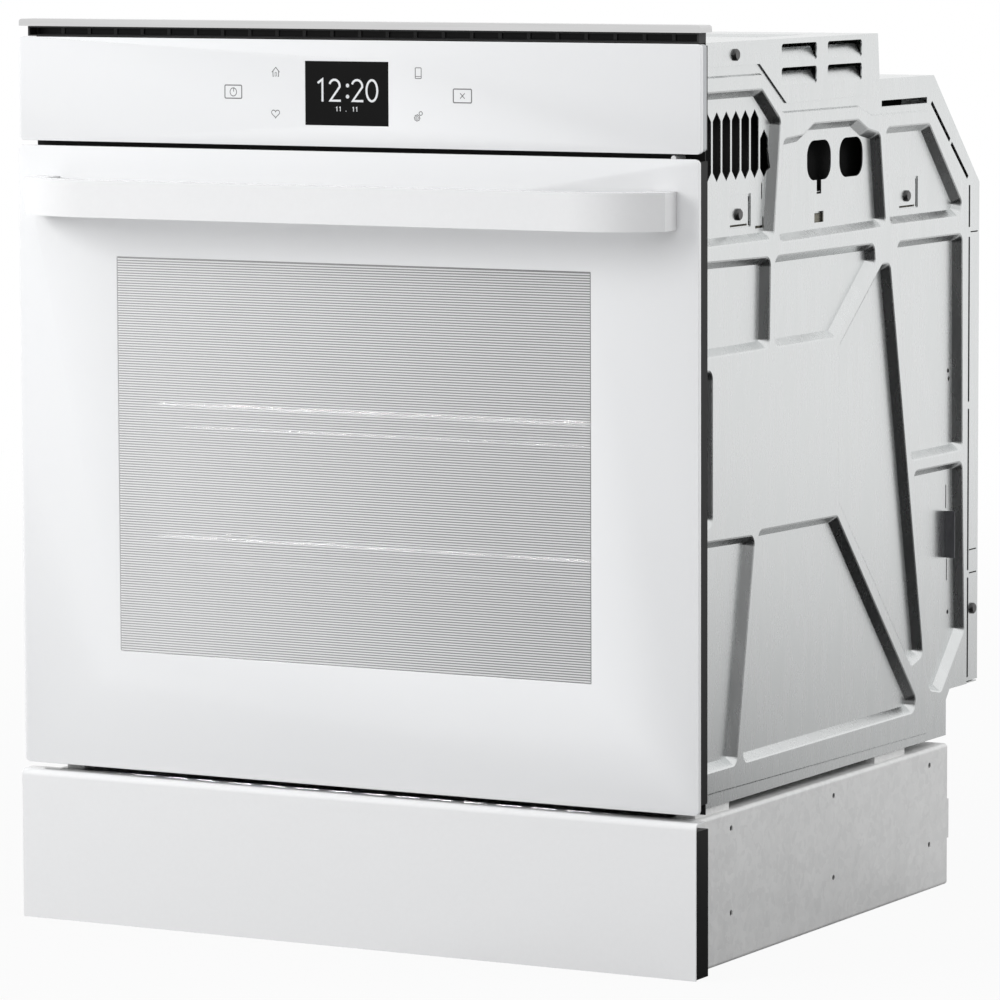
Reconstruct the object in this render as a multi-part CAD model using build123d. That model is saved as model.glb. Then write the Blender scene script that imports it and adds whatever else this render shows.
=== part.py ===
from build123d import *
import os
from math import cos, radians, sin, tan

# Built-in wall oven of the 60 cm class, standing on its galvanised filler box.
# Frame while modelling: X to the right, Y from the door glass to the back, Z up from the floor.
# All lengths are millimetres.

# ---- front, from the floor up ---------------------------------------------------------
front_width = 595.0
filler_height = 118.0
filler_to_door = 5.0
door_height = 485.3
door_to_control = 3.5
control_height = 80.5
outlet_height = 8.2
trim_height = 5.5

door_bottom = filler_height + filler_to_door
door_top = door_bottom + door_height
control_bottom = door_top + door_to_control
control_top = control_bottom + control_height
trim_bottom = control_top + outlet_height
oven_top = trim_bottom + trim_height
half_front = front_width / 2

# ---- materials and fits ---------------------------------------------------------------
sheet = 1.0
flange_sheet = 1.2
glass = 4.0
air = 0.3
running = 0.05

# ---- door ------------------------------------------------------------------------------
glass_corner = 4.0
door_frame_depth = 14.0
door_frame_inset = 2.0
door_frame_lift = 7.0
stile_width = 39.5
rail_height = 21.0
pack_depth = 22.0
pack_inset = 35.5
pack_lift = 27.0
pack_drop = 14.3
window_inset = 90.0
window_height = 307.4
window_lift = 92.9
spacer_side = 14.0

door_back = glass + door_frame_depth
pack_back = door_back + pack_depth
pack_bottom = door_bottom + pack_lift
pack_top = door_top - pack_drop
frame_low = door_bottom + door_frame_lift
frame_high = door_top - door_frame_inset
frame_half = half_front - door_frame_inset
rail_half = frame_half - stile_width
window_low = door_bottom + window_lift
window_high = window_low + window_height
pack_half = half_front - pack_inset
window_half = half_front - window_inset

# ---- handle ----------------------------------------------------------------------------
handle_inset = 18.0
handle_reach = 46.0
handle_height = 28.5
handle_thickness = 12.0
handle_bend = 64.5
handle_end_depth = 19.0
handle_below_door_top = 38.0
handle_block = 20.0
stud_radius = 4.0
stud_inset = 11.0

handle_z = door_top - handle_below_door_top
handle_half = half_front - handle_inset
stud_x = handle_half - stud_inset

# ---- hinges ----------------------------------------------------------------------------
hinge_y = 8.0
hinge_lift = 9.0
hinge_inset = 16.0
pin_radius = 2.2
eye_radius = 3.7
claw_thickness = 5.0
cheek_thickness = 2.8
cheek_gap = 0.7
hinge_notch = 9.5
hinge_body_height = 180.0
claw_reach = 84.0
claw_height = 16.0

hinge_x = pack_half - hinge_inset
hinge_z = door_bottom + hinge_lift

# ---- chassis ---------------------------------------------------------------------------
front_overhang = 17.5
chassis_rear = 538.0
filler_box_height = 115.4
spacer_height = 5.6
chassis_roof = 656.0
shoulder_drop = 22.0
duct_top = 692.0
duct_length = 318.0
flange_gap = 2.0
flange_inset = 5.0
recess_depth = 24.0
recess_side_gap = 6.0
rear_flange = 23.0
chamfer_run = 89.0
kick_height = 38.0
kick_depth = 40.0

chassis_bottom = filler_box_height + spacer_height
chassis_half = half_front - front_overhang
flange_front = door_back + flange_gap
flange_back = flange_front + flange_sheet
seal_plane = flange_front + recess_depth
panel_front = flange_back + air
panel_rear = chassis_rear - rear_flange
recess_half = pack_half + recess_side_gap
flange_half = half_front - flange_inset
shoulder = chassis_roof - shoulder_drop

# Pressed stiffening pads of the side panels.
pad_depth = 5.0
pad_slope = 40.0
pad_corner = 7.0
rim_bend = 0.5
rim_slope = 68.0
rib_rise = 1.6
rib_corner = 8.0

vent_bays = 24
rib_face = chassis_half + rib_rise
pad_travel = pad_depth + rib_rise

# ---- cavity ----------------------------------------------------------------------------
cavity_side_gap = 50.0
cavity_height = 350.0
cavity_depth = 410.0
cavity_lift = 60.0
cavity_flange = 15.0
gasket_width = 8.0
gasket_squeeze = 0.4
top_plate_lift = 36.0
deck_screw_margin = 5.5
blanket_back = 42.0
rack_wire = 3.0
rack_bend = 14.0
rack_side_gap = 12.0
rack_front_gap = 22.0
rack_length = 334.0
slat_wire = 1.6
slat_count = 19
rail_wire = 2.5
level_count = 5
level_pitch = 52.0
first_level = 57.2

cavity_half = chassis_half - cavity_side_gap
cavity_bottom = door_bottom + cavity_lift
cavity_top = cavity_bottom + cavity_height
cavity_front = seal_plane + flange_sheet
cavity_back = cavity_front + cavity_depth
cavity_mid = (cavity_bottom + cavity_top) / 2
top_plate_z = cavity_top + sheet + top_plate_lift
base_top = chassis_bottom + 1.5 * sheet
recess_step = 0.9
deck_half = chassis_half - pad_depth - sheet - recess_step - air
blanket_half = deck_half - sheet - air

# ---- fans, heat and light --------------------------------------------------------------
fan_radius = 70.0
fan_depth = 22.0
shaft_radius = 4.0
motor_radius = 34.0
motor_length = 32.0
baffle_side_gap = 65.0
baffle_end_gap = 27.0
baffle_stand = 44.0
element_radius = 3.5
lamp_inset = 38.0
lamp_drop = 46.0
lamp_radius = 22.0
cutout_x = 116.0
cutout_y = 412.0
cutout_can_height = 9.0
blower_y = 255.0
blower_radius = 82.0
blower_lift = 36.0
blower_height = 44.0
impeller_radius = 70.0

lamp_x = cavity_half - lamp_inset
lamp_z = cavity_top - lamp_drop
blower_low = top_plate_z + sheet + blower_lift
blower_high = blower_low + blower_height

# ---- controls --------------------------------------------------------------------------
control_set_back = 2.8
control_frame_depth = 7.2
display_width = 72.8
display_height = 48.5
display_lift = 16.0
display_depth = 4.5

control_back = control_set_back + glass
control_frame_back = control_back + control_frame_depth
display_low = control_bottom + display_lift
display_mid = display_low + display_height / 2

# ---- filler under the oven -------------------------------------------------------------
filler_stand_out = 5.0
filler_nose = 5.0
filler_return = 16.0
filler_box_proud = 4.5
filler_box_length = 451.0
filler_frame_depth = 21.0
filler_frame_width = 20.0
filler_hole_radius = 2.2
filler_hole_pitch_y = 177.5
filler_hole_pitch_z = 64.5
filler_hole_first_y = 62.0
filler_hole_first_z = 37.5

filler_face = -filler_stand_out
filler_frame_front = filler_face + flange_sheet
filler_frame_back = filler_frame_front + filler_frame_depth
filler_box_half = chassis_half + filler_box_proud
filler_box_back = filler_frame_back + filler_box_length

# ---- fasteners and mounts --------------------------------------------------------------
screw_head = 4.5
screw_head_height = 2.6
screw_shank = 1.9
screw_hole = 2.1
short_shank = 2.3
long_shank = 5.0
seat_gap = 0.05
cabinet_hole_radius = 2.5
cabinet_hole_inset = 5.5
cabinet_hole_low = 60.0
cabinet_hole_pitch = 380.0
knockout_radius = 11.1
knockout_wall = 1.5
clip_sheet = 1.0
clip_reach = 9.0

parts = {}


# ---- helpers ---------------------------------------------------------------------------
def block(x0, x1, y0, y1, z0, z1):
    """A straight-sided solid between two opposite corners."""
    return Pos((x0 + x1) / 2, (y0 + y1) / 2, (z0 + z1) / 2) * Box(x1 - x0, y1 - y0, z1 - z0)


def rod_x(x0, x1, y, z, radius):
    """A round bar along X."""
    return Pos((x0 + x1) / 2, y, z) * Rot(0, 90, 0) * Cylinder(radius, x1 - x0)


def rod_y(x, y0, y1, z, radius):
    """A round bar along Y."""
    return Pos(x, (y0 + y1) / 2, z) * Rot(90, 0, 0) * Cylinder(radius, y1 - y0)


def rod_z(x, y, z0, z1, radius):
    """A round bar along Z."""
    return Pos(x, y, (z0 + z1) / 2) * Cylinder(radius, z1 - z0)


def from_side(x, outline, thickness, corner=0.0):
    """A plate whose (y, z) outline lies at x and that reaches inwards, towards the middle, by thickness."""
    plane = Plane(origin=(x, 0, 0), x_dir=(0, 1, 0), z_dir=(1, 0, 0))
    face = make_face(Polyline(*outline, close=True))
    if corner:
        face = fillet(face.vertices(), corner)
    return extrude(plane * face, amount=-thickness)


def from_front(y, outline, thickness, corner=0.0):
    """A plate whose (x, z) outline lies at y and that reaches backwards by thickness."""
    plane = Plane(origin=(0, y, 0), x_dir=(1, 0, 0), z_dir=(0, -1, 0))
    face = make_face(Polyline(*outline, close=True))
    if corner:
        face = fillet(face.vertices(), corner)
    return extrude(plane * face, amount=-thickness)


def rectangle(u0, u1, v0, v1):
    """The four corners of an upright rectangle, for the two functions above."""
    return [(u0, v0), (u1, v0), (u1, v1), (u0, v1)]


def mirrored(shape):
    """The same shape on the other side of the oven's middle."""
    return mirror(shape, about=Plane.YZ)


def both(shape):
    """A shape and its mirror image, as one group."""
    return Part() + shape + mirrored(shape)


def group(shapes):
    """Separate solids kept in one node."""
    return Compound(children=[solid for shape in shapes for solid in shape.solids()])


def frame_ring(half_out, low_out, high_out, half_in, low_in, high_in, y0, y1):
    """A flat rectangular ring seen from the front."""
    outer = block(-half_out, half_out, y0, y1, low_out, high_out)
    return outer - block(-half_in, half_in, y0 - 1, y1 + 1, low_in, high_in)


def tube_path(points, bend, radius):
    """A tube along straight runs joined by tangent arcs."""
    path = FilletPolyline(*points, radius=bend)
    section = Plane(origin=path @ 0, z_dir=path % 0) * Circle(radius)
    return sweep(section, path=path)


# ---- side panels -----------------------------------------------------------------------
f, r, b, t = panel_front, panel_rear, chassis_bottom, chassis_roof
rib_outline = [
    (f + 3, t + 11), (f + 115, t + 11), (f + 150, t - 19), (f + 284, t - 19), (f + 308, t - 27),
    (r - 83, t - 27), (r - 7, t - 94), (r - 3, b + 78), (r - 78, b + 6), (f + 3, b + 10),
]
pads = [
    [(f + 10, t - 1), (f + 114, t - 1), (f + 146, t - 25), (f + 134, t - 115), (f + 10, t - 115)],
    [(f + 151, t - 40), (f + 186, t - 38), (f + 204, t - 30), (f + 282, t - 30),
     (f + 300, t - 38), (f + 322, t - 42), (f + 333, t - 116), (f + 144, t - 118)],
    [(r - 161, t - 38), (r - 80, t - 38), (r - 17, t - 103), (r - 21, t - 115), (r - 152, t - 115)],
    [(f + 10, t - 126), (f + 129, t - 128), (f + 127, b + 338), (f + 10, b + 338)],
    [(f + 137, t - 128), (f + 312, t - 128), (f + 314, t - 144), (f + 245, b + 338), (f + 137, b + 338)],
    [(f + 249, b + 331), (f + 327, t - 145), (f + 341, t - 145),
     (r - 88, b + 71), (r - 110, b + 65), (f + 249, b + 210)],
    [(r - 140, t - 129), (r - 16, t - 129), (r - 14, b + 230), (r - 111, b + 230)],
    [(r - 107, b + 221), (r - 14, b + 221), (r - 9, b + 82), (r - 53, b + 37),
     (r - 74, b + 41), (r - 87, b + 68)],
    [(f + 110, b + 201), (f + 246, b + 199), (r - 102, b + 39), (r - 104, b + 27), (f + 83, b + 27)],
    [(f + 10, b + 201), (f + 103, b + 198), (f + 72, b + 27), (f + 10, b + 27)],
    [(f + 10, b + 328), (f + 32, b + 328), (f + 32, b + 211), (f + 10, b + 211)],
]
panel_outline = [
    (f, b), (r - kick_depth, b), (r - kick_depth, b + 29), (r - kick_depth + 7, b + kick_height - 1),
    (r, b + kick_height - 1), (r, shoulder - 67), (r - 75, shoulder), (f + duct_length + 6, shoulder),
    (f + duct_length + 6, t), (f + 146, t), (f + 109, duct_top - 4), (f, duct_top - 4),
]
slot_count = 7
slot_pitch = 15.8
slot_width = 13.2
slot_first = 36.0
slot_low = t - 68
slot_high = t - 16
pad_floor = chassis_half - pad_depth
small_window = 38.0
small_window_height = 27.0
windows = [(f + 71.5, t - 105), (r - 124, t - 105.5)]
window_screw_y = 17.0
window_screw_z = 11.0


def pressed(outline, depth, spread, corner):
    """The solid that a tapered punch of this outline makes, from the ribs' face inwards."""
    plane = Plane(origin=(rib_face, 0, 0), x_dir=(0, -1, 0), z_dir=(-1, 0, 0))
    face = make_face(Polyline(*[(-y, z) for y, z in outline], close=True))
    face = fillet(face.vertices(), corner)
    if spread:
        face = offset(face, amount=spread)
    return extrude(plane * face, amount=depth, taper=pad_slope)


def eased_rim(outline):
    """A wide, shallow cutter that eases the rim of one pad."""
    plane = Plane(origin=(rib_face, 0, 0), x_dir=(0, -1, 0), z_dir=(-1, 0, 0))
    face = fillet(make_face(Polyline(*[(-y, z) for y, z in outline], close=True)).vertices(), pad_corner)
    reach = rim_bend * (tan(radians(rim_slope)) - tan(radians(pad_slope)))
    return extrude(plane * offset(face, amount=reach), amount=rim_bend, taper=rim_slope)


def raised(x, spread):
    """The field that carries the ribs, raised outwards from x."""
    plane = Plane(origin=(x, 0, 0), x_dir=(0, 1, 0), z_dir=(1, 0, 0))
    face = make_face(Polyline(*rib_outline, close=True))
    face = fillet(face.vertices(), rib_corner)
    if spread:
        face = offset(face, amount=spread)
    return extrude(plane * face, amount=rib_rise, taper=pad_slope)


def vent_slots():
    """The pointed cooling slots near the front of the panel, the last one shorter."""
    slots = []
    for index in range(slot_count):
        y = f + slot_first + slot_pitch * index
        high = slot_high - (slot_pitch if index == slot_count - 1 else 0)
        half = slot_width / 2
        slots.append([(y, slot_low), (y + half, slot_low + 7), (y + half, high - 7),
                      (y, high), (y - half, high - 7), (y - half, slot_low + 7)])
    return slots


def panel_cut(outline, corner=0.0):
    """A hole of this outline through the panel and its pads."""
    return from_side(rib_face + 1, outline, pad_travel + 4 * sheet, corner)


def side_panel():
    """The right-hand galvanised side: a flat sheet with pressed pads, slots and holes."""
    panel = from_side(chassis_half, panel_outline, sheet) + raised(chassis_half, 0)
    panel -= raised(chassis_half - sheet, sheet * (tan(radians(pad_slope)) - 1 / cos(radians(pad_slope))))
    for outline in pads:
        spread = sheet / cos(radians(pad_slope))
        panel += pressed(outline, pad_travel + sheet, spread, pad_corner)
    for outline in pads:
        panel -= pressed(outline, pad_travel, 0, pad_corner)
    for outline in pads:
        panel -= eased_rim(outline)
    for outline in vent_slots():
        panel -= panel_cut(outline)
    for y, z in windows:
        frame = rectangle(y, y + small_window, z, z + small_window_height)
        panel += from_side(pad_floor, frame, sheet + recess_step)
        inset = rectangle(y + 1, y + small_window - 1, z + 1, z + small_window_height - 1)
        panel -= from_side(pad_floor, inset, recess_step)
        low, high = z + 2, z + small_window_height - 3
        panel -= panel_cut(rectangle(y + small_window - 4, y + small_window - 2, low, high))
        panel -= panel_cut(rectangle(y + 4, y + small_window - 6, z + 2, z + 3.5))
        panel -= rod_x(pad_floor - 3, chassis_half, y + window_screw_y, z + window_screw_z, screw_hole)
    middle_hole = t - 59
    for y in (f + 226, f + 283):
        panel -= panel_cut(rectangle(y - 21, y + 21, middle_hole - 15.3, middle_hole + 15.3), 12)
    panel -= panel_cut(rectangle(f + 222, f + 230, middle_hole - 26, middle_hole - 12))
    panel -= panel_cut(rectangle(f + 218, f + 234, t - 107, t - 98.5))
    panel -= panel_cut(rectangle(f + 126, f + 127.5, t - 84, t - 72))
    panel -= panel_cut(rectangle(f + 116, f + 130, t - 106, t - 104))
    panel -= panel_cut(rectangle(f + 128, f + 130, t - 104, t - 97.5))
    panel -= panel_cut(rectangle(r - 32, r - 30.5, b + 184, b + 203))
    panel -= panel_cut(rectangle(r - 30, r - 28.5, b + 125, b + 143))
    for y, z in ((r - 27, b + 99), (r - 28, b + 295.5), (r - 26.5, b + 289)):
        panel -= rod_x(pad_floor - 3, chassis_half, y, z, 1.8)
    for y, z in cover_screws:
        panel -= rod_x(chassis_half - 3, chassis_half + 1, y, z, screw_hole)
    return panel


# Screws on the side: through the duct cover, and into the flange of the back.
cover_screws = [(f + 69.5, duct_top - 10)]
rear_screws = [(r + 12, b + 98)]

parts["side_panel_right"] = side_panel()
parts["side_panel_left"] = mirrored(parts["side_panel_right"])


# ---- back, base and roof of the chassis --------------------------------------------------
rear_half = chassis_half - sheet
rear_lap = 3.0
terminal_low = 480.0
terminal_x = -155.0
terminal_width = 90.0
terminal_height = 60.0
terminal_depth = 32.0
rear_low = chassis_bottom + kick_height + sheet
chamfer_z = chassis_roof - chamfer_run


def rear_cover():
    """The back: roof strip, sloped corner and rear wall in one bent sheet with side flanges."""
    start = f + duct_length + 7
    back = chassis_rear
    edge = r - rear_lap
    band = [(start, t), (back - chamfer_run, t), (back, chamfer_z), (back, rear_low), (edge, rear_low),
            (edge, shoulder - 67), (edge - 75, shoulder - rear_lap), (start, shoulder - rear_lap)]
    cover = from_side(rear_half, band, 2 * rear_half)
    bend = sheet * tan(radians(22.5))
    hollow = [(start - 1, t - sheet), (back - chamfer_run - bend, t - sheet),
              (back - sheet, chamfer_z - bend),
              (back - sheet, rear_low - 1), (back - 60, rear_low - 1), (back - 60, shoulder - 100),
              (start - 1, shoulder - 60)]
    cover -= from_side(rear_half - sheet, hollow, 2 * (rear_half - sheet))
    half = terminal_width / 2
    cover -= block(terminal_x - half, terminal_x + half, back - 5, back + 1,
                   terminal_low, terminal_low + terminal_height)
    for row in range(6):
        for side in (-1, 1):
            z = cavity_mid - 60 + 24 * row
            cover -= from_front(back + 1, rectangle(side * 62 - 40, side * 62 + 40, z - 3, z + 3), -4, 2.9)
    for column in range(9):
        x = -160 + 40 * column
        cover -= block(x - 14, x + 14, back - chamfer_run + 20, back - chamfer_run + 60, chamfer_z, t)
    for outline in flange_slots():
        cover -= both(from_side(rear_half + 1, outline, 3))
    for y, z in rear_screws:
        cover -= both(rod_x(rear_half - 3, rear_half + 1, y, z, screw_hole))
    for side in (-1, 1):
        cover += rear_bead(side * 205, 2 + sheet, sheet)
        cover -= rear_bead(side * 205, 2, 0)
    return cover


def flange_slots():
    """The relief slots of the side flanges: along the panels' rear edges, and two across the flange."""
    gap, start = 5.0, f + duct_length + 12
    slots = [rectangle(start, r - 79, shoulder + 0.3, shoulder + gap)]
    for low, high in ((0.03, 0.5), (0.54, 0.97)):
        y0, z0 = r - 75 * (1 - low), shoulder - 67 * low
        y1, z1 = r - 75 * (1 - high), shoulder - 67 * high
        slots.append([(y0 + 0.2, z0 + 0.3), (y1 + 0.2, z1 + 0.3), (y1 + 3.6, z1 + 3.7),
                      (y0 + 3.6, z0 + 3.7)])
    for low, high in ((b + 42, b + 124), (b + 130, b + 262), (b + 268, b + 402), (b + 410, shoulder - 69)):
        slots.append(rectangle(r + 0.3, r + gap, low, high))
    for z in (b + 127, b + 146, b + 405.5):
        slots.append(rectangle(r + gap + 1, r + rear_flange - 3, z, z + 1))
    return slots


def rear_bead(x, depth, spread):
    """A pressed upright stiffening bead in the rear wall."""
    face = make_face(Polyline(*rectangle(x - 22, x + 22, rear_low + 40, terminal_low - 25), close=True))
    face = fillet(face.vertices(), 10)
    if spread:
        face = offset(face, amount=spread)
    plane = Plane(origin=(0, chassis_rear, 0), x_dir=(1, 0, 0), z_dir=(0, -1, 0))
    return extrude(plane * face, amount=depth, taper=30)


def base_plate():
    """The floor of the chassis, stepped up at the back."""
    inner = chassis_half - sheet - air
    step = r - kick_depth
    end = chassis_rear - sheet - air
    profile = [(f, base_top), (step - sheet, base_top), (step - sheet, b + kick_height),
               (end, b + kick_height), (end, b + kick_height - sheet),
               (step, b + kick_height - sheet), (step, base_top - sheet), (f, base_top - sheet)]
    plate = from_side(inner, profile, 2 * inner)
    for x in (-150, 0, 150):
        for y in (120, 260, 400):
            plate -= block(x - 40, x + 40, y - 3, y + 3, base_top - 2, base_top + 1)
    return plate


def top_plate():
    """The deck over the insulation, whose side flanges reach to the screws in the panels' windows."""
    front = cavity_front + air
    seats = [z + window_screw_z for y, z in windows]
    low = min(top_plate_z, min(seats) - deck_screw_margin)
    high = max(top_plate_z + sheet, max(seats) + deck_screw_margin)
    plate = block(-deck_half, deck_half, front, panel_rear - 2, top_plate_z, top_plate_z + sheet)
    plate += block(-deck_half, deck_half, front, front + sheet, top_plate_z, top_plate_z + 14)
    plate += both(block(deck_half - sheet, deck_half, front, panel_rear - 2, low, high))
    for y, z in windows:
        plate -= both(rod_x(deck_half - 3, deck_half + 1, y + window_screw_y, z + window_screw_z, screw_hole))
    return plate


parts["rear_cover"] = rear_cover()
parts["base_plate"] = base_plate()
parts["top_plate"] = top_plate()


# ---- cooling-air duct cover over the front of the chassis --------------------------------
cover_face = chassis_half + air + sheet
louvre_length = 61.0
louvre_height = 13.0
louvre_rows = [duct_top - 35, duct_top - 17]
louvre_columns = [f + 148, f + 228]


def duct_cover():
    """The flat roof over the cooling air, with louvred side flanges that lap the side panels."""
    end = f + duct_length
    flange = [(f, duct_top), (end, duct_top), (end + 4, duct_top - 44), (end - 1, duct_top - 47),
              (f + 157, duct_top - 49), (f + 111, duct_top - 18), (f, duct_top - 18)]
    side = from_side(cover_face, flange, sheet)
    for y in louvre_columns:
        for z in louvre_rows:
            side -= from_side(cover_face + 1, rectangle(y, y + louvre_length, z, z + louvre_height), 3, 3)
    side -= from_side(cover_face + 1, rectangle(end - 9, end + 6, duct_top - 50, duct_top - 36), 3)
    for y, z in cover_screws:
        side -= rod_x(cover_face - 3, cover_face + 1, y, z, screw_hole)
    for y in louvre_columns:
        for z in louvre_rows:
            side += louvre_blade(y, z)
    cover = both(side)
    cover += block(-cover_face, cover_face, f, end, duct_top - sheet, duct_top)
    cover += block(-cover_face, cover_face, end - sheet, end, chassis_roof + air, duct_top)
    for x in (-180, 0, 180):
        pit = from_front_top(x, f + 60, f + 260, 2, 0)
        shell = from_front_top(x, f + 60, f + 260, 2 + sheet, sheet)
        cover = cover + shell - pit
    return cover


def from_front_top(x, y0, y1, depth, spread):
    """A shallow pressed field in the duct roof."""
    face = make_face(Polyline((x - 70, y0), (x + 70, y0), (x + 70, y1), (x - 70, y1), close=True))
    face = fillet(face.vertices(), 12)
    if spread:
        face = offset(face, amount=spread)
    plane = Plane(origin=(0, 0, duct_top), x_dir=(1, 0, 0), z_dir=(0, 0, -1))
    return extrude(plane * mirror(face, about=Plane.XZ), amount=depth, taper=30)


def louvre_blade(y, z):
    """The blade lanced out of one louvre: it slopes inwards from the sill to the lintel."""
    plane = Plane(origin=(0, y, 0), x_dir=(1, 0, 0), z_dir=(0, 1, 0))
    low, high = z - 0.5, z + louvre_height - 3
    lean = 7.0
    points = [(cover_face, -low), (cover_face - sheet, -low),
              (cover_face - lean, -high), (cover_face - lean + sheet, -high)]
    return extrude(plane * make_face(Polyline(*points, close=True)), amount=louvre_length)


parts["cooling_duct_cover"] = duct_cover()


# ---- front frame and cavity --------------------------------------------------------------
recess_low = pack_bottom - 6.0
recess_high = pack_top + 5.0
frame_top = oven_top - flange_sheet - air
wiring_low = control_bottom + 6
wiring_high = control_top - 4
claw_slot_half = claw_thickness / 2 + 1.5


def front_frame():
    """The face of the oven behind the door: cabinet flange, recess for the door and cavity face."""
    frame = block(-flange_half, flange_half, flange_front, flange_back, chassis_bottom, frame_top)
    frame -= block(-recess_half, recess_half, flange_front - 1, flange_back + 1, recess_low, recess_high)
    frame -= block(-recess_half, recess_half, flange_front - 1, flange_back + 1, wiring_low, wiring_high)
    wall = flange_sheet
    frame += frame_ring(recess_half + wall, recess_low - wall, recess_high + wall,
                        recess_half, recess_low, recess_high, flange_front, seal_plane + wall)
    frame += frame_ring(recess_half + wall, recess_low - wall, recess_high + wall,
                        cavity_half, cavity_bottom, cavity_top, seal_plane, cavity_front)
    for side in (-1, 1):
        x = side * hinge_x
        frame -= block(x - claw_slot_half, x + claw_slot_half, flange_front - 1, cavity_front + 1,
                       hinge_z - 6, hinge_z + 30)
        for z in (cabinet_low, cabinet_low + cabinet_hole_pitch):
            frame -= rod_y(side * cabinet_hole_x, flange_front - 1, flange_back + 1, z, cabinet_hole_radius)
    frame -= rod_y(plunger_x, flange_front - 1, flange_back + 1, plunger_z, plunger_radius + running)
    return frame


def oven_cavity():
    """The enamelled liner: five walls, a front flange and the holes its fittings pass through."""
    liner = block(-cavity_half - sheet, cavity_half + sheet, cavity_front, cavity_back + sheet,
                  cavity_bottom - sheet, cavity_top + sheet)
    flange = cavity_half + cavity_flange
    liner += block(-flange, flange, cavity_front, cavity_front + sheet,
                   cavity_bottom - cavity_flange, cavity_top + cavity_flange)
    liner -= block(-cavity_half, cavity_half, cavity_front - 1, cavity_back, cavity_bottom, cavity_top)
    for side in (-1, 1):
        x = side * hinge_x
        liner -= block(x - 10, x + 10, cavity_front - 1, cavity_front + 2, cavity_bottom - 20, hinge_z + 42)
    liner -= rod_y(0, cavity_back - 1, cavity_back + 2, cavity_mid, 8)
    liner -= rod_y(lamp_x, cavity_back - 1, cavity_back + 2, lamp_z, lamp_radius + 1)
    liner -= rod_y(-lamp_x, cavity_back - 1, cavity_back + 2, lamp_z, 4)
    for side in (-1, 1):
        liner -= rod_y(side * ring_terminal_x, cavity_back - 1, cavity_back + 2, ring_terminal_z,
                       element_radius + 1)
        liner -= rod_y(side * broil_terminal_x, cavity_back - 1, cavity_back + 2, broil_z,
                       element_radius + 1)
    return liner


plunger_radius = 2.0
plunger_x = chassis_half - 5.5
plunger_z = door_top + 0.3
plunger_travel = 5.0
switch_depth = 9.5
switch_wall = 0.8
cabinet_low = chassis_bottom + cabinet_hole_low
cabinet_hole_x = flange_half - cabinet_hole_inset
ring_radius = 92.0
ring_terminal_x = 15.0
ring_terminal_z = cavity_mid - ring_radius
broil_terminal_x = 20.0
broil_z = cavity_top - 18.0
bake_z = cavity_bottom - sheet - air - element_radius

parts["front_frame"] = front_frame()
parts["oven_cavity"] = oven_cavity()


def door_gasket():
    """The woven seal around the cavity mouth."""
    half = cavity_half + 3
    low, high = cavity_bottom - 3, cavity_top + 3
    w = gasket_width
    ring = from_front(pack_back + gasket_squeeze, rectangle(-half - w, half + w, low - w, high + w),
                      seal_plane - pack_back - gasket_squeeze, 16)
    hole = from_front(pack_back, rectangle(-half, half, low, high), seal_plane - pack_back + 1, 9)
    return ring - hole


parts["door_gasket"] = door_gasket()


def insulation_blanket():
    """The mineral-wool jacket around the liner, open at the front."""
    back = cavity_back + sheet + air
    clear = cavity_half + sheet + air
    wool = block(-blanket_half, blanket_half, cavity_front + sheet + air, back + blanket_back,
                 base_top + air, top_plate_z - air)
    wool -= block(-clear, clear, seal_plane, back,
                  cavity_bottom - 2 * sheet - 2 * air - 2 * element_radius - 1,
                  cavity_top + sheet + air)
    wool -= rod_y(0, back - 1, back + blanket_back + 1, cavity_mid, motor_radius + 14)
    wool -= rod_y(lamp_x, back - 1, back + blanket_back + 1, lamp_z, lamp_radius + 7)
    wool -= rod_y(-lamp_x, back - 1, back + blanket_back + 1, lamp_z, 12)
    wool -= block(-40, 40, back - 1, back + blanket_back + 1, broil_z - 10, broil_z + 10)
    wool -= block(-40, 40, back - 1, back + blanket_back + 1, ring_terminal_z - 10, ring_terminal_z + 10)
    wool -= block(-40, 40, back - 1, back + blanket_back + 1, bake_z - 12, bake_z + 6)
    step = panel_rear - kick_depth - sheet - 1
    wool -= block(-blanket_half - 1, blanket_half + 1, step, chassis_rear, base_top, b + kick_height + 1)
    for side in (-1, 1):
        x = side * hinge_x
        wool -= block(x - 12, x + 12, seal_plane, claw_back + 10, base_top, hinge_z + 46)
    return wool


claw_back = hinge_y + claw_reach
parts["insulation_blanket"] = insulation_blanket()


# ---- racks and their side supports --------------------------------------------------------
support_post_x = cavity_half - 5.5
support_rail_x = support_post_x - 4.6
rack_half = cavity_half - rack_side_gap
rack_front = cavity_front + rack_front_gap
rack_back = rack_front + rack_length
first_rail_z = cavity_bottom + first_level


def rail_height_at(level):
    """Height of the support rail of one level, counted from the lowest."""
    return first_rail_z + level_pitch * level


def rack_support():
    """The right-hand chromed wire ladder that hangs on the cavity wall."""
    low = first_rail_z - 20
    high = rail_height_at(level_count - 1) + 26
    ladder = Part()
    for y in (rack_front + 24, rack_back - 20):
        ladder += rod_z(support_post_x, y, low, high, rail_wire)
        for z in (low + 6, high - 6):
            ladder += rod_x(support_post_x, cavity_half, y, z, rail_wire)
    for level in range(level_count):
        ladder += rod_y(support_rail_x, rack_front - 4, rack_back + 4, rail_height_at(level), rail_wire)
    return ladder


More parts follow.
